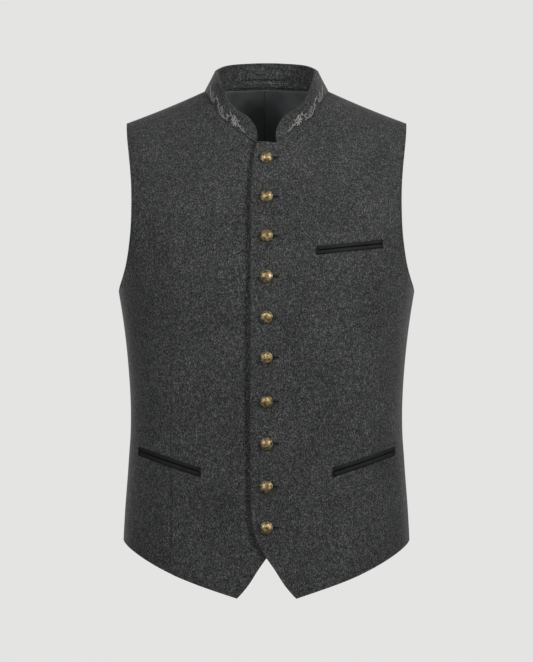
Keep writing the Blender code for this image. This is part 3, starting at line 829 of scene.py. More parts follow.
# %% Build the panels
def add_panel(name, point_at, spans, counts, in_front):
    """One panel: returns its piece and the fine surface that threads are laid on."""
    coarse = np.array(
        [[point_at(column, row) for column in range(spans + 1)] for row in range(ROWS + 1)])
    rows = fine_places(PANEL_ROWS)
    base = panel_grid(coarse, rows, fine_places(counts), spans - SHOULDER_SPANS)
    normals = outward_normals(base, BODY_MIDDLE)
    apart = {side: distance_from(base, side) for side in ("start", "bottom")}
    edge = base[rows >= UNDERARM_ROW, -1]
    close = np.linspace(0, len(edge) - 1, LINE_FINENESS * len(edge))
    apart["armhole"] = distance_to_line(base, spline_weights(len(edge), close) @ edge)
    lift = creases(base[..., 0], base[..., 2], in_front)
    if name.startswith("front_right"):
        lift = lift + lap_hollow(base[..., 0], base[..., 2])
    if name.startswith("front_left"):
        lift = lift + LAP_CURL * np.exp(-(apart["start"] / CURL_WIDTH) ** 2)
    base = base + normals * lift[..., None]
    relief = groove(apart["bottom"], RIM_STITCH) + groove(apart["armhole"], RIM_STITCH)
    if in_front:
        relief = relief + groove(apart["start"], EDGE_STITCH)
        to_dart = np.abs(np.abs(base[..., 0]) - DART_X)
        depth = np.clip((DART_TOP - base[..., 2]) / (DART_TOP - DART_FULL), 0, 1)
        relief = relief - DART_DEPTH * np.exp(-(to_dart / DART_WIDTH) ** 2) * depth
    outer = base + normals * relief[..., None]
    inner = base - normals * WALL
    rounding = np.full(base.shape[:2], SEAM_RADIUS)
    rounding[0] = EDGE_RADIUS
    armhole = np.clip((rows - UNDERARM_ROW) * ARMHOLE_ROUNDING, 0, 1)
    rounding[:, -1] = mix(SEAM_RADIUS, EDGE_RADIUS, armhole)
    if in_front:
        rounding[:, 0] = EDGE_RADIUS
    piece = cloth(name, outer, inner, rounding, np.where(rounding < EDGE_RADIUS, SEAM_REACH, 0.0))
    return piece, {"outer": outer, "normals": normals, "apart": apart}


panels = {
    "front_left": add_panel("front_left_cloth", left_front_point, FRONT_SPANS, FRONT_COLUMNS, True),
    "front_right": add_panel("front_right_cloth", right_front_point, FRONT_SPANS, FRONT_COLUMNS, True),
    "back_left": add_panel("back_left_cloth", left_back_point, BACK_SPANS, BACK_COLUMNS, False),
    "back_right": add_panel("back_right_cloth", right_back_point, BACK_SPANS, BACK_COLUMNS, False),
}
for name, (piece, _) in panels.items():
    print(name, len(piece.data.polygons), "faces")

# %% [markdown]
# ## Collar
#
# The collar is a double strip of the wool, stiffened and sewn to the neckline. It stands up and leans in
# towards the neck, and its front ends are rounded. A flat strip could be bent along a curve, but its foot
# would leave the neckline. So it is built column by column on the neckline's own points. A line of
# stitching runs along its top edge.

# %% Collar tables
# Heights and degrees of lean, from centre back to the neck point and from the front end to it
COLLAR_BACK_HEIGHTS = (31, 31, 31, 30.9, 30.6, 30.7, 29.8, 29.1)
COLLAR_FRONT_HEIGHTS = (25, 25, 25, 28.5, 31.5, 32, 32, 32, 31.1)
COLLAR_END_HEIGHT = 8
COLLAR_CORNER_SPANS = 4
COLLAR_LEAN = (14, 12.5, 10.5, 10.5, 13, 16, 21, 26, 30)
COLLAR_BACK_LEAN = 9
COLLAR_SIT = 0.08          # its lower edge over the neckline
COLLAR_GAP = SEAM_GAP * 1.2
COLLAR_ROLL = 0.5          # the soft roll of its outer face
COLLAR_STITCH = 4.6
COLLAR_GROOVE = 0.3
COLLAR_SPLITS = 4
COLLAR_LEVELS = 25
NECK_MIDDLE_Y = -15
print("collar height at centre back:", COLLAR_BACK_HEIGHTS[0], "mm")

# %% Columns of the collar
def collar_seam():
    """The neckline from the left front's collar end round the back to the right one."""
    front = list(zip(COLLAR_LEAN, COLLAR_FRONT_HEIGHTS))
    left = [(left_front_point(EDGE_SPANS + k, ROWS), *front[k]) for k in range(NECK_SPANS + 1)]
    right = [(right_front_point(EDGE_SPANS + k, ROWS), *front[k]) for k in range(NECK_SPANS + 1)]
    back = []
    for k in range(1 - NECK_SPANS, NECK_SPANS):
        point = left_back_point(abs(k), ROWS)
        point.x = math.copysign(point.x, -k) if k else 0.0
        lean = mix(COLLAR_BACK_LEAN, COLLAR_LEAN[-1], (k / NECK_SPANS) ** 2)
        back.append((point, lean, COLLAR_BACK_HEIGHTS[abs(k)]))
    return left + back + right[::-1]


def corner_columns(first, second):
    """Splits the seam's end span so that the collar's front corner comes out round."""
    columns = []
    for k in range(COLLAR_CORNER_SPANS):
        angle = math.pi / 2 * k / COLLAR_CORNER_SPANS
        point = first[0].lerp(second[0], 1 - math.cos(angle))
        columns.append((point, first[1], mix(COLLAR_END_HEIGHT, first[2], math.sin(angle))))
    return columns


def collar_columns():
    """For each column of the collar: foot, direction up the collar, outward direction and height."""
    seam = collar_seam()
    columns = corner_columns(seam[0], seam[1]) + seam[1:-1] + corner_columns(seam[-1], seam[-2])[::-1]
    framed = []
    for k, (point, lean, height) in enumerate(columns):
        before = columns[max(k - 1, 0)][0]
        after = columns[min(k + 1, len(columns) - 1)][0]
        along = (after - before).normalized()
        outward = Vector((along.y, -along.x, 0)).normalized()
        if outward.dot(Vector((point.x, point.y - NECK_MIDDLE_Y, 0))) < 0:
            outward.negate()
        lean = math.radians(lean)
        up = Vector((0, 0, 1)) * math.cos(lean) - outward * math.sin(lean)
        out = along.cross(up).normalized()
        if out.dot(outward) < 0:
            out.negate()
        framed.append((point, up, out, height))
    return framed


# %% Build the collar
columns = collar_columns()
places = fine_places([COLLAR_SPLITS] * (len(columns) - 1))
weights = spline_weights(len(columns), places)
collar_foot = weights @ np.array([column[0] for column in columns])
collar_up = unit(weights @ np.array([column[1] for column in columns]))
collar_out = unit(weights @ np.array([column[2] for column in columns]))
collar_height = weights @ np.array([column[3] for column in columns])
collar_shares = np.linspace(0, 1, COLLAR_LEVELS)


def collar_grid(out, shares=collar_shares):
    """The collar's surface at a distance from its outer face, by height and by column."""
    shares = shares[:, None, None]
    rise = mix(COLLAR_SIT, COLLAR_GAP + collar_height[:, None], shares)
    roll = COLLAR_ROLL * np.sin(np.pi * shares)
    return collar_foot + collar_up * rise + collar_out * (roll + out)


collar_outer = collar_grid(0.0)
below_top = distance_from(collar_outer, "top")
from_ends = np.minimum(distance_from(collar_outer, "start"), distance_from(collar_outer, "end"))
relief = groove(np.minimum(below_top, from_ends), COLLAR_STITCH, COLLAR_GROOVE)
collar_face = collar_outer + collar_out * relief[..., None]
rounding = np.full(collar_outer.shape[:2], EDGE_RADIUS)
rounding[0] = SEAM_RADIUS
reach = np.where(rounding < EDGE_RADIUS, SEAM_REACH, 0.0)
collar_cloth = cloth("collar_cloth", collar_face, collar_grid(-COLLAR_WALL), rounding, reach)
print("collar", len(collar_cloth.data.polygons), "faces")

# %% [markdown]
# ## Lining and hanger loop
#
# Satin lines the back, with a pleat down its centre that gives room to move. It could be the back's inner
# face in another colour, but satin is a cloth of its own, and its pleat stands off the wool. So it is a
# thin sheet on the back's own pattern, moved inwards. The hanger loop is a strip of the wool, sewn inside
# the collar at both its ends, and bows a little between them.

# %% Build the lining and the loop
PLEAT_COLUMNS = ("x", "rise")
PLEAT = ((-18, 0.0), (-2.2, 1.8), (-1.1, 0.0), (0.0, 3.6), (16, 0.0))
LINING_BOTTOM = 1.5        # in rows and columns of the back's own grid
LINING_TOP = 23.96
LINING_SIDE = 14.8
LINING_ROWS = 100
LINING_COLUMNS = 44        # on each side, beyond those that form the pleat
PLEAT_PLACES = (0, 0.04, 0.1, 0.2, 0.35, 0.6)
LINING_ROUNDING = 0.3
NECK_BACK = 20             # the collar's back lies behind this depth
LOOP_HALF = 26
LOOP_LOW = 0.34            # shares of the collar's height
LOOP_HIGH = 0.58
LOOP_BOW = 1.0
LOOP_ROWS = 7
LOOP_ROUNDING = 0.5

coarse = np.array([[left_back_point(column, row, -WALL - LINING_GAP) for column in range(BACK_SPANS + 1)]
                   for row in range(ROWS + 1)])
coarse[:, 0, 0] = 0.0
lining_rows = np.linspace(LINING_BOTTOM, LINING_TOP, LINING_ROWS)
side_places = np.concatenate([PLEAT_PLACES, np.linspace(1, LINING_SIDE, LINING_COLUMNS)])
left = panel_grid(coarse, lining_rows, side_places, NECK_SPANS)
lining_outer = np.concatenate([(left * (-1, 1, 1))[:, :0:-1], left], axis=1)
pleat = [table_column(PLEAT_COLUMNS, PLEAT, name) for name in PLEAT_COLUMNS]
lining_outer[..., 1] -= np.interp(lining_outer[..., 0], *pleat)
lining_inner = lining_outer - outward_normals(lining_outer, BODY_MIDDLE) * LINING_WALL
lining_cloth = cloth("back_lining_cloth", lining_outer, lining_inner, LINING_ROUNDING)


def collar_back(reach):
    """The collar's columns at the back of the neck, out to a distance from its centre."""
    return [k for k, (x, y, _) in enumerate(collar_foot) if y > NECK_BACK and abs(x) < reach]


behind = collar_back(LOOP_HALF)
behind = [behind[0] - 1] + behind + [behind[-1] + 1]
bow = LOOP_BOW * (1 - (collar_foot[behind, 0] / LOOP_HALF) ** 2).clip(0, 1)[:, None]
shares = np.linspace(LOOP_LOW, LOOP_HIGH, LOOP_ROWS)
loop_faces = []
for depth in (LAY_GAP + LOOP_WALL, LAY_GAP):
    whole = collar_grid(-COLLAR_WALL - depth, shares)[:, behind]
    loop_faces.append(whole - collar_out[behind] * bow)
loop_cloth = cloth("hanger_loop_cloth", *loop_faces, LOOP_ROUNDING)
print("lining", len(lining_cloth.data.polygons), "faces, loop", len(loop_cloth.data.polygons))

# %% [markdown]
# ## Pockets
#
# A jetted pocket is a slit in the front, bound by two folded strips of black satin. The slit could be cut
# through the front, but nothing of the pocket bag would show. So the lips lie on the whole front, each
# one a soft roll, with a near-black strip between them: the pocket bag with painted shade.

# %% Pocket tables
# Places of a pocket's inner and outer end, and the height of both lips together
POCKET_COLUMNS = ("name", "inner_x", "inner_z", "outer_x", "outer_z", "height")
POCKETS = (
    ("breast", 60.5, -204.2, 141.0, -195.2, 10.2),
    ("left_pocket", 80.5, -473.0, 157.5, -449.5, 11.6),
    ("right_pocket", -80.0, -473.0, -157.0, -449.5, 11.6),
)
JET_SPLIT = 1.0
LIP_COLUMNS = 49
LIP_ROWS = 9
LIP_EDGE = 0.4             # how thick a lip is at its edges
LIP_FULLNESS = 0.35        # the lower, the squarer its roll
LIP_SINK = 0.3
LIP_ROUNDING = 0.15
SLIT_HALF = 1.1
SLIT_TOP = 0.35
SLIT_FOOT = 0.1
SLIT_ROUNDING = 0.05
print("pockets:", len(POCKETS))

# %% Bands that lie on the fronts
def front_at(x, z, out=0.0, lapped=None):
    """A point of the fronts seen at x and z, moved outwards by out, and its outward direction.

    The left front is lifted over the lap and the right one isn't, unless lapped says otherwise.
    """
    height = height_at(x, z)
    turn = turn_at(x, height)
    outward = body_normal(turn, height)
    lift = lap_lift(x) if (x > 0 if lapped is None else lapped) else 0.0
    return body_point(turn, height) + outward * (out + lift + float(creases(x, z))), outward


def band_on_front(pocket, low, high, height_over):
    """A band along a pocket's middle line, from low to high, as a grid of points."""
    grid = []
    for part in np.linspace(0, 1, LIP_ROWS):
        row = []
        for share in np.linspace(0, 1, LIP_COLUMNS):
            x = mix(pocket["inner_x"], pocket["outer_x"], share)
            z = mix(pocket["inner_z"], pocket["outer_z"], share) + mix(low, high, part)
            row.append(front_at(x, z, height_over(part))[0])
        grid.append(row)
    return np.array(grid)


def lip_roll(part):
    """Height of a lip over the cloth, across it: thin at both its edges and full between them."""
    return LAY_GAP + LIP_EDGE + (JET_WALL - LIP_EDGE) * math.sin(math.pi * part) ** LIP_FULLNESS


# %% Build the pocket lips
pockets = [dict(zip(POCKET_COLUMNS, row)) for row in POCKETS]
jets, lip_tops, slits = {}, {}, []
for pocket in pockets:
    reach = pocket["height"] / 2
    for side, low, high in (("upper", JET_SPLIT / 2, reach), ("lower", -reach, -JET_SPLIT / 2)):
        node = f"{pocket['name']}_jet_{side}"
        lip_tops[node] = band_on_front(pocket, low, high, lip_roll)
        foot = band_on_front(pocket, low, high, lambda part: LAY_GAP - LIP_SINK)
        jets[node] = cloth(f"{node}_lip", lip_tops[node], foot, LIP_ROUNDING)
    # The strip in the slit is near black: the pocket bag with painted shade
    top = band_on_front(pocket, -SLIT_HALF, SLIT_HALF, lambda part: SLIT_TOP)
    foot = band_on_front(pocket, -SLIT_HALF, SLIT_HALF, lambda part: SLIT_FOOT)
    slits.append(cloth(f"{pocket['name']}_slit", top, foot, SLIT_ROUNDING))
print("lips:", len(jets))

# %% [markdown]
# ## Buttons
#
# The buttons are stamped metal domes on shanks. A flattened sphere would have no rim and no foot, so each
# button is turned, like work on a lathe: a fine profile of radius and height goes once round its axis.
# The dome's uneven, beaten face comes from its material.

# %% Build the buttons
BUTTON_HEIGHTS = (-91.5, -139.4, -187.3, -235.8, -284.6, -333.4, -386.6, -438, -490.2, -539.5)
BUTTON_X = 0.0
BUTTON_SEGMENTS = 48
BUTTON_PROFILE = (
    (0.0, 6.3), (1.0, 6.26), (2.0, 6.13), (3.0, 5.9), (4.0, 5.52), (4.8, 5.08), (5.5, 4.6),
    (6.1, 4.05), (6.55, 3.5), (6.8, 3.05), (6.92, 2.75), (7.15, 2.72), (7.38, 2.5), (7.5, 2.1),
    (7.45, 1.7), (7.2, 1.4), (6.7, 1.3), (3.2, 1.15), (2.6, 1.0), (2.5, 0.0), (0.0, 0.0),
)


def turned_mesh(profile, segments):
    """A profile of radius and height turned about Z, from the top of the dome to the foot."""
    places = [(0.0, 0.0, profile[0][1])]
    for radius, height in profile[1:-1]:
        for k in range(segments):
            angle = 2 * math.pi * k / segments
            places.append((radius * math.cos(angle), radius * math.sin(angle), height))
    places.append((0.0, 0.0, profile[-1][1]))
    faces = [(0, 1 + k, 1 + (k + 1) % segments) for k in range(segments)]
    for ring in range(len(profile) - 3):
        low, high = 1 + ring * segments, 1 + (ring + 1) * segments
        for k in range(segments):
            after = (k + 1) % segments
            faces.append((low + k, high + k, high + after, low + after))
    last = 1 + (len(profile) - 3) * segments
    faces += [(last + (k + 1) % segments, last + k, len(places) - 1) for k in range(segments)]
    return places, faces


buttons = []
for number, z in enumerate(BUTTON_HEIGHTS, start=1):
    foot, outward = front_at(BUTTON_X, z, LAY_GAP, lapped=True)
    places, faces = turned_mesh(BUTTON_PROFILE, BUTTON_SEGMENTS)
    stand = outward.to_track_quat("Z", "Y").to_matrix()
    places = [foot + stand @ Vector(place) for place in places]
    buttons.append(add_mesh(f"button_{number}_dome", places, faces))
print("buttons:", len(buttons))

# %% [markdown]
# ## Threads
#
# A stitch is a short round thread that dips into the cloth at both ends. A row of them could be drawn by
# a bump map, but real threads cast shadows when seen from close by. One helper lays a row of them along
# any line, and another finds the line at a set distance from an edge.

# %% One thread
THREAD_SIDES = 6
THREAD_TAPER = 0.45        # how thin a thread is drawn in at its ends


def tube(path, outward, radius):
    """A round thread along a path, as points and faces, drawn in at both ends."""
    path = np.asarray(path, float)
    along = unit(np.gradient(path, axis=0))
    side = unit(np.cross(along, outward))
    over = np.cross(side, along)
    radii = np.full(len(path), radius)
    radii[[0, -1]] *= THREAD_TAPER
    angles = 2 * np.pi * np.arange(THREAD_SIDES)[:, None] / THREAD_SIDES
    ring = side[:, None] * np.cos(angles) + over[:, None] * np.sin(angles)
    index = np.arange(len(path) * THREAD_SIDES).reshape(len(path), THREAD_SIDES)
    low, high = index[:-1], index[1:]
    corners = low, high, np.roll(high, -1, axis=1), np.roll(low, -1, axis=1)
    faces = np.stack(corners, axis=-1).reshape(-1, 4).tolist()
    faces += [index[0].tolist(), index[-1, ::-1].tolist()]
    return (path[:, None] + radii[:, None, None] * ring).reshape(-1, 3), faces


def joined(name, parts):
    """One mesh object from many parts, each of them points and faces."""
    places, faces, count = [], [], 0
    for part_places, part_faces in parts:
        places.append(part_places)
        faces += [[corner + count for corner in face] for face in part_faces]
        count += len(part_places)
    return add_mesh(name, np.concatenate(places), faces)


# %% A row of stitches
STITCH_PITCH = 3.4
STITCH_LENGTH = 2.6
STITCH_RADIUS = 0.22
STITCH_PLACES = np.array([-0.5, -0.3, 0.0, 0.3, 0.5])     # along a stitch, in its lengths
STITCH_RISE = np.array([-0.3, 0.08, 0.14, 0.08, -0.3])    # over the cloth


def path_length(points):
    steps = np.linalg.norm(np.diff(points, axis=0), axis=-1)
    return np.concatenate([[0], np.cumsum(steps)])


def read_line(run, values, at):
    """Values along a line, read at lengths along it."""
    return np.stack([np.interp(at, run, column) for column in np.asarray(values).T], axis=-1)


def stitch_row(points, outwards, pitch=STITCH_PITCH, radius=STITCH_RADIUS):
    """A row of stitches along a line on the cloth."""
    run = path_length(points)
    parts = []
    for middle in np.arange(pitch, run[-1] - pitch / 2, pitch):
        at = middle + STITCH_LENGTH * STITCH_PLACES
        outward = unit(read_line(run, outwards, at))
        path = read_line(run, points, at) + outward * STITCH_RISE[:, None]
        parts.append(tube(path, outward, radius))
    return parts


print("stitches to the centimetre:", round(10 / STITCH_PITCH, 1))

# %% A line beside an edge
def line_beside(surface, side, distance):
    """The line at a distance from one side of a piece: points, outward directions, all distances."""
    apart = surface["apart"]
    fields = np.concatenate(
        [surface["outer"], surface["normals"], np.stack(list(apart.values()), axis=-1)], axis=-1)
    across = apart[side]
    if side in ("bottom", "top"):
        fields, across = fields.transpose(1, 0, 2), across.T
    line = []
    for values, distances in zip(fields, across):
        order = np.argsort(distances)
        line.append([np.interp(distance, distances[order], column) for column in values[order].T])
    line = np.array(line)
    return line[:, :3], unit(line[:, 3:6]), dict(zip(apart, line[:, 6:].T))


def stitched_beside(surface, side, distance, keep_where):
    """Stitches along one side of a piece, where keep_where agrees to the distances from its sides."""
    points, outwards, apart = line_beside(surface, side, distance)
    keep = keep_where(apart)
    return stitch_row(points[keep], outwards[keep])


# %% Topstitching
LINE_SLACK = 0.2           # how far the armhole's line may be off before it is left out
stitches = {}
rows_above = fine_places(PANEL_ROWS) >= UNDERARM_ROW


def on_armhole(apart):
    return rows_above & (np.abs(apart["armhole"] - RIM_STITCH) < LINE_SLACK)


for name, (piece, surface) in panels.items():
    first = EDGE_STITCH if name.startswith("front") else 0
    parts = stitched_beside(surface, "bottom", RIM_STITCH, lambda apart: apart["start"] >= first)
    parts += stitched_beside(surface, "armhole", RIM_STITCH, on_armhole)
    if name.startswith("front"):
        parts += stitched_beside(
            surface, "start", EDGE_STITCH, lambda apart: apart["bottom"] >= RIM_STITCH)
    stitches[piece.name] = [joined(f"{name}_topstitch", parts)]

collar_surface = {
    "outer": collar_face,
    "normals": np.broadcast_to(collar_out, collar_outer.shape),
    "apart": {side: distance_from(collar_outer, side) for side in ("start", "end", "top")},
}
parts = []
for side, others in (("top", ("start", "end")), ("start", ("top",)), ("end", ("top",))):
    parts += stitched_beside(collar_surface, side, COLLAR_STITCH, lambda apart: np.all(
        [apart[other] >= COLLAR_STITCH for other in others], axis=0))
collar_topstitch = joined("collar_topstitch", parts)
print("stitches along the collar:", len(parts))

# %% Light stitches inside the collar's back
NECK_STITCH_SHARE = 0.2    # of the collar's height
NECK_STITCH_HALF = 29
NECK_STITCH_PITCH = 3.6
NECK_STITCH_RADIUS = 0.28
inside = collar_back(NECK_STITCH_HALF)
line = collar_grid(-COLLAR_WALL, np.array([NECK_STITCH_SHARE]))[0][inside]
neck_row = stitch_row(line, -collar_out[inside], NECK_STITCH_PITCH, NECK_STITCH_RADIUS)
neck_stitches = joined("neck_hand_stitches", neck_row)
stitches["collar_cloth"] = [collar_topstitch, neck_stitches]
print("hand stitches:", len(neck_row))

# %% Buttonholes
HOLE_START = -3.0
HOLE_END = 15.0
HOLE_HALF = 0.45
HOLE_LEVELS = (0.1, -0.3)  # the slit's top and foot over the cloth
HOLE_COLUMNS = 9
PURL_PITCH = 0.75
PURL_REACH = (0.5, 0.9, 1.7, 2.2)
PURL_RISE = (0.05, 0.3, 0.3, -0.1)
PURL_RADIUS = 0.28


def thread_on_front(x, heights, rises, radius, lapped=None):
    """A thread that runs up the front at x, through heights, each with its rise over the cloth."""
    path, outward = zip(*[front_at(x, z, rise, lapped) for z, rise in zip(heights, rises)])
    return tube(path, np.array(outward), radius)


purl, hole_slits = [], []
for number, z in enumerate(BUTTON_HEIGHTS, start=1):
    xs = np.linspace(HOLE_START, HOLE_END, HOLE_COLUMNS)
    top, foot = [np.array([[front_at(x, z + up, out, lapped=True)[0] for x in xs]
                           for up in (-HOLE_HALF, 0, HOLE_HALF)]) for out in HOLE_LEVELS]
    # Each buttonhole's slit is a near-black sheet: painted shade
    hole_slits.append(cloth(f"buttonhole_{number}_slit", top, foot, SLIT_ROUNDING))
    for x in np.arange(HOLE_START, HOLE_END, PURL_PITCH):
        for way in (-1, 1):
            heights = [z + way * reach for reach in PURL_REACH]
            purl.append(thread_on_front(x, heights, PURL_RISE, PURL_RADIUS, lapped=True))
stitches["front_left_cloth"] += [joined("buttonhole_purl", purl), *hole_slits]
print("buttonholes:", len(hole_slits), "with", len(purl), "purl stitches")

# %% Bar tacks at the pockets' ends
TACK_SHARES = (0.004, 0.011, 0.018, 0.025, 0.975, 0.982, 0.989, 0.996)
TACK_STEPS = 9
TACK_REACH = 0.5
TACK_RISE = 0.05
TACK_RADIUS = 0.27

tacks = {}
for pocket in pockets:
    reach = pocket["height"] / 2 + TACK_REACH
    rises = [0.0] + [LAY_GAP + JET_WALL + TACK_RISE] * (TACK_STEPS - 2) + [0.0]
    parts = []
    for share in TACK_SHARES:
        x = mix(pocket["inner_x"], pocket["outer_x"], share)
        z = mix(pocket["inner_z"], pocket["outer_z"], share)
        heights = z + np.linspace(-reach, reach, TACK_STEPS)
        parts.append(thread_on_front(x, heights, rises, TACK_RADIUS))
    tacks[pocket["name"]] = joined(f"{pocket['name']}_bar_tacks", parts)
print("stitched pieces:", sum(len(pieces) for pieces in stitches.values()) + len(tacks))

# %% [markdown]
# ## Embroidery on the collar
#
# A flowering vine runs along both collar fronts. It is a new drawing in the traditional manner: a waving
# stem, an eight-petalled star, open five-petalled flowers, small leaves and curling tendrils. It could be
# painted on the cloth, but embroidery stands off it and catches the light. So each line is a thread, and
# two threads side by side make the stem. Places are millimetres along the seam from the collar's front
# end, and millimetres above the seam.

# %% The vine's tables
# The stem's columns are along and up
STEM = (
    (18, 3.5), (24, 5), (29, 8.5), (32, 12.5), (38, 14.5), (44, 12), (48, 7), (54, 4), (62, 4),
    (68, 8), (71, 12), (77, 13), (83, 10), (87, 5.5), (94, 3.5), (101, 5.5), (105, 9.5), (111, 11),
)
FLOWER_COLUMNS = ("along", "up", "reach", "turn", "petals", "bulge")
FLOWERS = ((36, 8.3, 5.6, 6, 8, 0.45), (60, 9.9, 5.6, 17, 5, 1.4), (92, 9.2, 5.0, 0, 5, 1.3))
STAR_PETALS = 8            # flowers with this many petals are worked in the paler thread
LEAF_COLUMNS = ("along", "up", "turn", "length")
LEAVES = (
    (22, 4.6, 120, 4.4), (27, 7.0, -20, 4.2), (31, 11.5, 150, 4.6), (41, 13.6, 60, 4.0),
    (46, 9.8, 15, 4.6), (50, 5.6, 200, 4.0), (57, 3.7, -40, 3.8), (66, 6.2, 10, 4.2),
    (70, 10.6, 140, 4.2), (79, 12.4, 70, 3.8), (85, 8.0, 205, 4.2), (90, 4.2, -60, 3.2),
    (98, 4.2, 60, 3.6), (103, 7.6, 150, 3.8), (108, 10.6, -30, 3.8),
)
TENDRIL_COLUMNS = ("along", "up", "turn", "reach", "way")
TENDRILS = (
    (25, 5.6, 70, 3.0, -1), (34, 13.6, 30, 3.0, 1), (45, 11.2, -10, 3.2, -1), (55, 3.9, 80, 3.0, 1),
    (69, 9.2, -10, 3.0, -1), (74, 12.8, 50, 2.8, 1), (88, 5.0, 190, 2.8, 1), (100, 5.0, 110, 2.6, -1),
    (110, 11.0, 40, 2.6, 1),
)
print("vine:", len(FLOWERS), "flowers,", len(LEAVES), "leaves and", len(TENDRILS), "tendrils")

# %% Tendrils, leaves and flowers
TENDRIL_TURNS = 1.45
TENDRIL_CLOSING = 0.72     # how much of its radius a tendril loses
TENDRIL_START = 0.7
TENDRIL_STRETCH = 1.1
TENDRIL_POINTS = 16
LEAF_BULGE = 0.6
LEAF_POINTS = 6
PETAL_START = 1.1          # from the flower's middle
PETAL_FULLNESS = 0.7
PETAL_POINTS = 7
RING_RADIUS = 0.75         # the ring in the flower's middle
RING_STEP = 40             # degrees


def turned(start, angle, along, across):
    """A point at a distance along and across a direction on the collar."""
    angle = math.radians(angle)
    return (start[0] + along * math.cos(angle) - across * math.sin(angle),
            start[1] + along * math.sin(angle) + across * math.cos(angle))


def tendril_line(tendril):
    """A tendril curls up from its start and closes towards its middle."""
    start = (tendril["along"], tendril["up"])
    curl = []
    for part in np.linspace(0, 1, TENDRIL_POINTS):
        angle = TENDRIL_TURNS * 2 * math.pi * part
        radius = tendril["reach"] / 2 * (1 - TENDRIL_CLOSING * part)
        along = tendril["reach"] * TENDRIL_START - radius * math.cos(angle) * TENDRIL_STRETCH
        curl.append(turned(start, tendril["turn"], along, tendril["way"] * radius * math.sin(angle)))
    return np.array(curl)


def leaf_lines(leaf):
    """The two sides of a leaf."""
    start = (leaf["along"], leaf["up"])
    return [np.array([
        turned(start, leaf["turn"], leaf["length"] * part, bulge * math.sin(math.pi * part))
        for part in np.linspace(0, 1, LEAF_POINTS)]) for bulge in (-LEAF_BULGE, LEAF_BULGE)]


def flower_lines(flower):
    """The two sides of each petal, and the ring in the flower's middle."""
    middle = (flower["along"], flower["up"])
    lines = []
    for petal in range(flower["petals"]):
        angle = flower["turn"] + 360 / flower["petals"] * petal
        for bulge in (-flower["bulge"], flower["bulge"]):
            lines.append(np.array([
                turned(middle, angle, mix(PETAL_START, flower["reach"], part),
                       bulge * math.sin(math.pi * part) ** PETAL_FULLNESS)
                for part in np.linspace(0, 1, PETAL_POINTS)]))
    lines.append(np.array([turned(middle, angle, RING_RADIUS, 0) for angle in range(0, 361, RING_STEP)]))
    return lines


# %% Draw the vine
STEM_HALF = 0.3            # from the stem's middle to each of its two threads
STEM_POINTS = 120


def vine_lines():
    """The vine's threads as lines of places on the collar: the grey ones, and the paler ones."""
    steps = np.linspace(0, len(STEM) - 1, STEM_POINTS)
    middle = spline_weights(len(STEM), steps) @ np.array(STEM, float)
    grey = [middle + (0, side) for side in (-STEM_HALF, STEM_HALF)]
    grey += [tendril_line(dict(zip(TENDRIL_COLUMNS, row))) for row in TENDRILS]
    for row in LEAVES:
        grey += leaf_lines(dict(zip(LEAF_COLUMNS, row)))
    pale = []
    for row in FLOWERS:
        flower = dict(zip(FLOWER_COLUMNS, row))
        (pale if flower["petals"] == STAR_PETALS else grey).extend(flower_lines(flower))
    return grey, pale


grey_lines, pale_lines = vine_lines()
print("threads in the vine:", len(grey_lines), "grey and", len(pale_lines), "pale")

# %% Lay the vine on the collar
VINE_RADIUS = 0.26
VINE_LIFT = 0.1
FLOWER_LIFT = 0.25         # the star's petals lie on the vine


def on_collar(lines, from_left, lift):
    """Threads along lines of places, on the collar's outer face from its left or right front end."""
    order = slice(None) if from_left else slice(None, None, -1)
    foot, up, out = collar_foot[order], collar_up[order], collar_out[order]
    run = path_length(foot)
    parts = []
    for line in lines:
        outward = unit(read_line(run, out, line[:, 0]))
        height = read_line(run, collar_height[order][:, None], line[:, 0])
        rise = line[:, 1:]
        roll = COLLAR_ROLL * np.sin(np.pi * rise / height)
        ends = np.full((len(line), 1), lift + VINE_RADIUS / 2)
        ends[[0, -1]] = -VINE_RADIUS
        path = read_line(run, foot, line[:, 0]) + unit(read_line(run, up, line[:, 0])) * rise
        parts.append(tube(path + outward * (roll + ends), outward, VINE_RADIUS))
    return parts


vine, petals = [], []
for side, from_left in (("left", True), ("right", False)):
    vine.append(joined(f"collar_{side}_vine", on_collar(grey_lines, from_left, VINE_LIFT)))
    petals.append(joined(f"collar_{side}_flowers", on_collar(pale_lines, from_left, FLOWER_LIFT)))
stitches["collar_cloth"] += vine + petals
print("embroidery threads:", 2 * (len(grey_lines) + len(pale_lines)))

# %% [markdown]
# ## Materials
#
# Up close, wool is a felt of dark and light fibres, satin has fine ribs, and old brass is spotted.
# Photos of each could be wrapped round the pieces, but they would repeat and blur. Here every material is
# made of nodes, at the scale of the real thing. Noise in object coordinates runs through all the panels
# alike, so nothing stretches over the creases.

# %% Material helper
def new_material(name, **values):
    """A material with one Principled shader, whose values are set directly."""
    material = bpy.data.materials.new(name)
    material.use_nodes = True
    shader = material.node_tree.nodes["Principled BSDF"]
    for socket, value in values.items():
        shader.inputs[socket.replace("_", " ")].default_value = value
    return material, material.node_tree, shader


def noise(tree, vector, size, detail=2.0, roughness=0.5):
    """Noise whose cells are about size millimetres across."""
    return add_node(tree, "ShaderNodeTexNoise", {
        "Vector": vector, "Scale": 1 / (size * MM), "Detail": detail, "Roughness": roughness})


def relief_of(tree, shader, height, strength, depth):
    """Lets a pattern stand off the surface by a depth in millimetres."""
    bump = add_node(tree, "ShaderNodeBump", {
        "Height": height, "Strength": strength, "Distance": depth * MM})
    tree.links.new(bump.outputs[0], shader.inputs["Normal"])


def ramp(tree, factor, stops):
    """A colour ramp with stops of position and sRGB hex."""
    node = add_node(tree, "ShaderNodeValToRGB", {"Fac": factor})
    elements = node.color_ramp.elements
    elements[0].position, elements[1].position = stops[0][0], stops[-1][0]
    elements[0].color, elements[1].color = linear(stops[0][1]), linear(stops[-1][1])
    for position, colour in stops[1:-1]:
        elements.new(position).color = linear(colour)
    return node


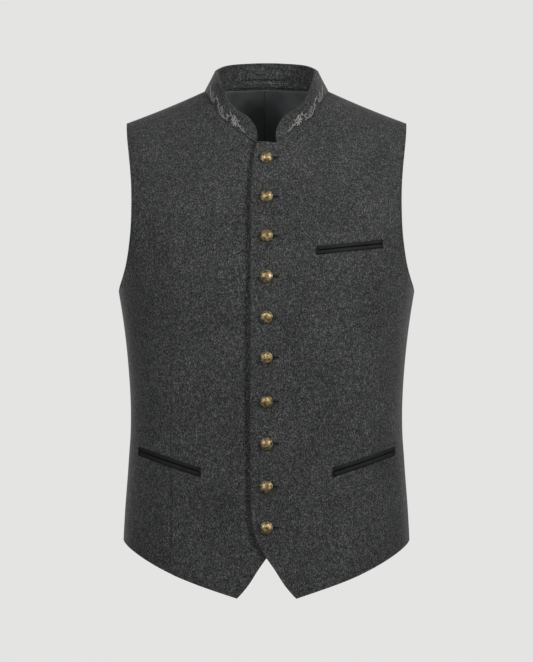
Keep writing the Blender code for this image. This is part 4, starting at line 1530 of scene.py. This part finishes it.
def blend(tree, kind, factor, first, second):
    """Blends two colours."""
    return add_node(tree, "ShaderNodeMix", {0: factor, 6: first, 7: second},
                    data_type="RGBA", blend_type=kind).outputs[2]


# %% Wool loden
# Sizes of its patterns in millimetres, and how strongly they are mixed in
FLECK = 1.5                # tufts of fibres
FIBRE = 0.7                # smaller ones
CLOUD = 6                  # faint patches a few flecks wide
BROAD = 70                 # and others a hand's breadth wide
HUE = 2.5                  # a trace of colour
FLECK_SHARE = 0.6
HUE_SHARE = 0.22
NAP_STRETCH = 0.75         # below 1, so the flecks are drawn out downwards, as the nap lies


def loden_material(name, dark, light):
    """Fulled melange wool: dark and light fibres felted together, with a short nap that runs down.

    A wool fibre is 0.02 mm thick, too fine to show. It is drawn as flecks of 0.7 and 1.5 mm, the tufts
    that the fibres gather in.
    """
    material, tree, shader = new_material(
        name, Roughness=0.95, Specular_IOR_Level=0.15, Sheen_Weight=0.12, Sheen_Roughness=0.5)
    coords = add_node(tree, "ShaderNodeTexCoord").outputs["Object"]
    nap = add_node(tree, "ShaderNodeMapping", {
        "Vector": coords, "Scale": (1, 1, NAP_STRETCH)}).outputs[0]
    fleck = noise(tree, nap, FLECK, 2, 0.6)
    fibre = noise(tree, nap, FIBRE, 2, 0.7)
    cloud = noise(tree, coords, CLOUD, 2)
    broad = noise(tree, coords, BROAD, 1)
    mixed = add_node(tree, "ShaderNodeMath", {
        0: fleck.outputs["Fac"], 1: FLECK_SHARE}, operation="MULTIPLY")
    mixed = add_node(tree, "ShaderNodeMath", {
        0: fibre.outputs["Fac"], 1: 1 - FLECK_SHARE, 2: mixed.outputs[0]}, operation="MULTIPLY_ADD")
    base = ramp(tree, mixed.outputs[0], [(0.35, dark), (0.50, "#424343"), (0.65, light)]).outputs[0]
    patch = ramp(tree, cloud.outputs["Fac"], [(0.3, "#D2D4D3"), (0.7, "#FFFFFF")]).outputs[0]
    base = blend(tree, "MULTIPLY", 1.0, base, patch)
    wide = ramp(tree, broad.outputs["Fac"], [(0.3, "#E6E6E6"), (0.7, "#FFFFFF")]).outputs[0]
    base = blend(tree, "MULTIPLY", 1.0, base, wide)
    hue = noise(tree, coords, HUE, 1).outputs["Color"]
    base = blend(tree, "SOFT_LIGHT", HUE_SHARE, base, hue)
    tree.links.new(base, shader.inputs["Base Color"])
    relief_of(tree, shader, mixed.outputs[0], 0.5, 0.3)
    return material


# Dull, dry and speckled from almost black to mid grey, with a trace of colour in the flecks
loden = loden_material("charcoal_loden", "#212222", "#828382")

# %% Satin of the lining and the pocket lips
SATIN_CLOUD = 22           # width of the patches of slightly other colour, in millimetres
SATIN_SLANT = 24           # of the ribs, in degrees
SATIN_STRETCH = 0.12       # the ribs are about eight times as long as they are wide


def satin_material(name, dark, light, roughness, rib, gloss=0.42):
    """Satin: a smooth sheen across fine ribs, and a slightly uneven colour.

    Its warp threads are 0.1 mm apart, too fine to show. The ribs are drawn at 0.5 mm or more.
    """
    material, tree, shader = new_material(name, Roughness=roughness, Specular_IOR_Level=gloss)
    coords = add_node(tree, "ShaderNodeTexCoord").outputs["Object"]
    uneven = noise(tree, coords, SATIN_CLOUD, 2)
    base = ramp(tree, uneven.outputs["Fac"], [(0.3, dark), (0.7, light)]).outputs[0]
    tree.links.new(base, shader.inputs["Base Color"])
    turn = (0, math.radians(SATIN_SLANT), 0)
    slant = add_node(tree, "ShaderNodeMapping", {
        "Vector": coords, "Rotation": turn, "Scale": (1, 1, SATIN_STRETCH)})
    ribs = noise(tree, slant.outputs[0], rib, 2)
    relief_of(tree, shader, ribs.outputs["Fac"], 0.35, 0.2)
    return material


# A cool grey that shines softly where the light comes in through the neck
lining_satin = satin_material("grey_lining_satin", "#5A5D5E", "#6E7172", 0.45, 0.5)
# Almost black, with a faint sheen along the top of each roll
lip_satin = satin_material("black_lip_satin", "#161817", "#222423", 0.7, 0.7, 0.2)
# Near black and dull: the pocket bag with painted shade in the pocket slits, and painted shade in the
# buttonholes, so that they read as depth
slit_cloth = satin_material("pocket_bag_and_painted_shade", "#060606", "#0C0C0C", 0.9, 0.6, 0.1)

# %% Sewing and embroidery threads
TWIST = 0.45               # millimetres from one turn of the thread to the next


def thread_material(name, dark, light, roughness=0.7):
    """Spun thread: a soft lustre, and a colour that wavers with its twist."""
    material, tree, shader = new_material(name, Roughness=roughness, Specular_IOR_Level=0.3)
    coords = add_node(tree, "ShaderNodeTexCoord").outputs["Object"]
    twist = noise(tree, coords, TWIST, 2)
    base = ramp(tree, twist.outputs["Fac"], [(0.35, dark), (0.65, light)]).outputs[0]
    tree.links.new(base, shader.inputs["Base Color"])
    relief_of(tree, shader, twist.outputs["Fac"], 0.5, 0.1)
    return material


# As dark as the wool's dark fibres, so a seam shows only as a quiet line
wool_thread = thread_material("charcoal_sewing_thread", "#2C2D2D", "#474848")
# Black, to close off the ends of the black lips
black_thread = thread_material("black_sewing_thread", "#0A0B0B", "#1A1B1B")
# Light, so the hand stitches inside the neck can be counted
light_thread = thread_material("grey_basting_thread", "#6F6F6D", "#9A9A97")
# A cool mid grey that stands out softly from the wool
vine_thread = thread_material("silver_grey_embroidery_thread", "#7E7E7B", "#A9A9A6", 0.6)
# The palest thread, so the star catches the eye first
flower_thread = thread_material("pale_grey_embroidery_thread", "#9C9B97", "#CCCBC6", 0.55)

# %% Antique brass
BEATEN = 3.2               # width of the dents in a dome, in millimetres
GRAIN = 0.8                # and of the spots where it is duller or brighter


def brass_material(name):
    """Antique brass: warm metal, with patina in its beaten hollows and rubbed, pale heights."""
    material, tree, shader = new_material(name, Metallic=1.0)
    coords = add_node(tree, "ShaderNodeTexCoord").outputs["Object"]
    beaten = noise(tree, coords, BEATEN, 2)
    grain = noise(tree, coords, GRAIN, 3)
    base = ramp(tree, beaten.outputs["Fac"], [
        (0.32, "#6A5A3E"), (0.45, "#99855F"), (0.57, "#C3AF88"), (0.70, "#E4D8BC")]).outputs[0]
    tree.links.new(base, shader.inputs["Base Color"])
    rough = add_node(tree, "ShaderNodeMapRange", {
        "Value": grain.outputs["Fac"], "To Min": 0.42, "To Max": 0.62})
    tree.links.new(rough.outputs[0], shader.inputs["Roughness"])
    relief_of(tree, shader, beaten.outputs["Fac"], 0.4, 0.6)
    return material


# Ten warm, soft glints on the dark cloth, no two alike
brass = brass_material("antique_brass")
print("materials:", len(bpy.data.materials))

# %% [markdown]
# ## Hand everything to the frame
#
# The cloth is soft on the real vest and rigid in the model. So each piece rides on the one rigid body,
# stands for its CAD node, and takes its material. Each cloth piece is listed with its outer face, how it
# lies, and the pieces beside it.

# %% Slots and nodes
def finish_piece(piece, material, node=None):
    piece.data.materials.clear()
    piece.data.materials.append(material)
    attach(piece, "root")
    if node:
        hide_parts(node)


for node, (piece, _) in panels.items():
    finish_piece(piece, loden, node)
finish_piece(collar_cloth, loden, "collar")
finish_piece(loop_cloth, loden, "hanger_loop")
finish_piece(lining_cloth, lining_satin, "back_lining")
for node, piece in jets.items():
    finish_piece(piece, lip_satin, node)
for piece in slits + hole_slits:
    finish_piece(piece, slit_cloth)
for piece in tacks.values():
    finish_piece(piece, black_thread)
for pieces in stitches.values():
    for piece in pieces:
        if piece not in hole_slits:
            finish_piece(piece, wool_thread)
finish_piece(neck_stitches, light_thread)
for piece in vine:
    finish_piece(piece, vine_thread)
for piece in petals:
    finish_piece(piece, flower_thread)
for number, piece in enumerate(buttons, start=1):
    finish_piece(piece, brass, f"button_{number}")
print("meshes:", len(bpy.data.meshes))


sheets = [(panels[name][0], panels[name][1]["outer"], "hung", ["collar_cloth"]) for name in panels]
sheets.append((collar_cloth, collar_outer, "hung", ["front_left_cloth", "front_right_cloth"]))
sheets.append((lining_cloth, lining_outer, "hung", ["back_left_cloth", "back_right_cloth"]))
sheets.append((loop_cloth, loop_faces[0], "folded", ["collar_cloth"]))
for node, piece in jets.items():
    fronts = ["front_right_cloth"] if node.startswith("right") else ["front_left_cloth"]
    sheets.append((piece, lip_tops[node], "folded", fronts))
    if node.endswith("upper"):
        stitches[piece.name] = [tacks[node.split("_jet")[0]]]
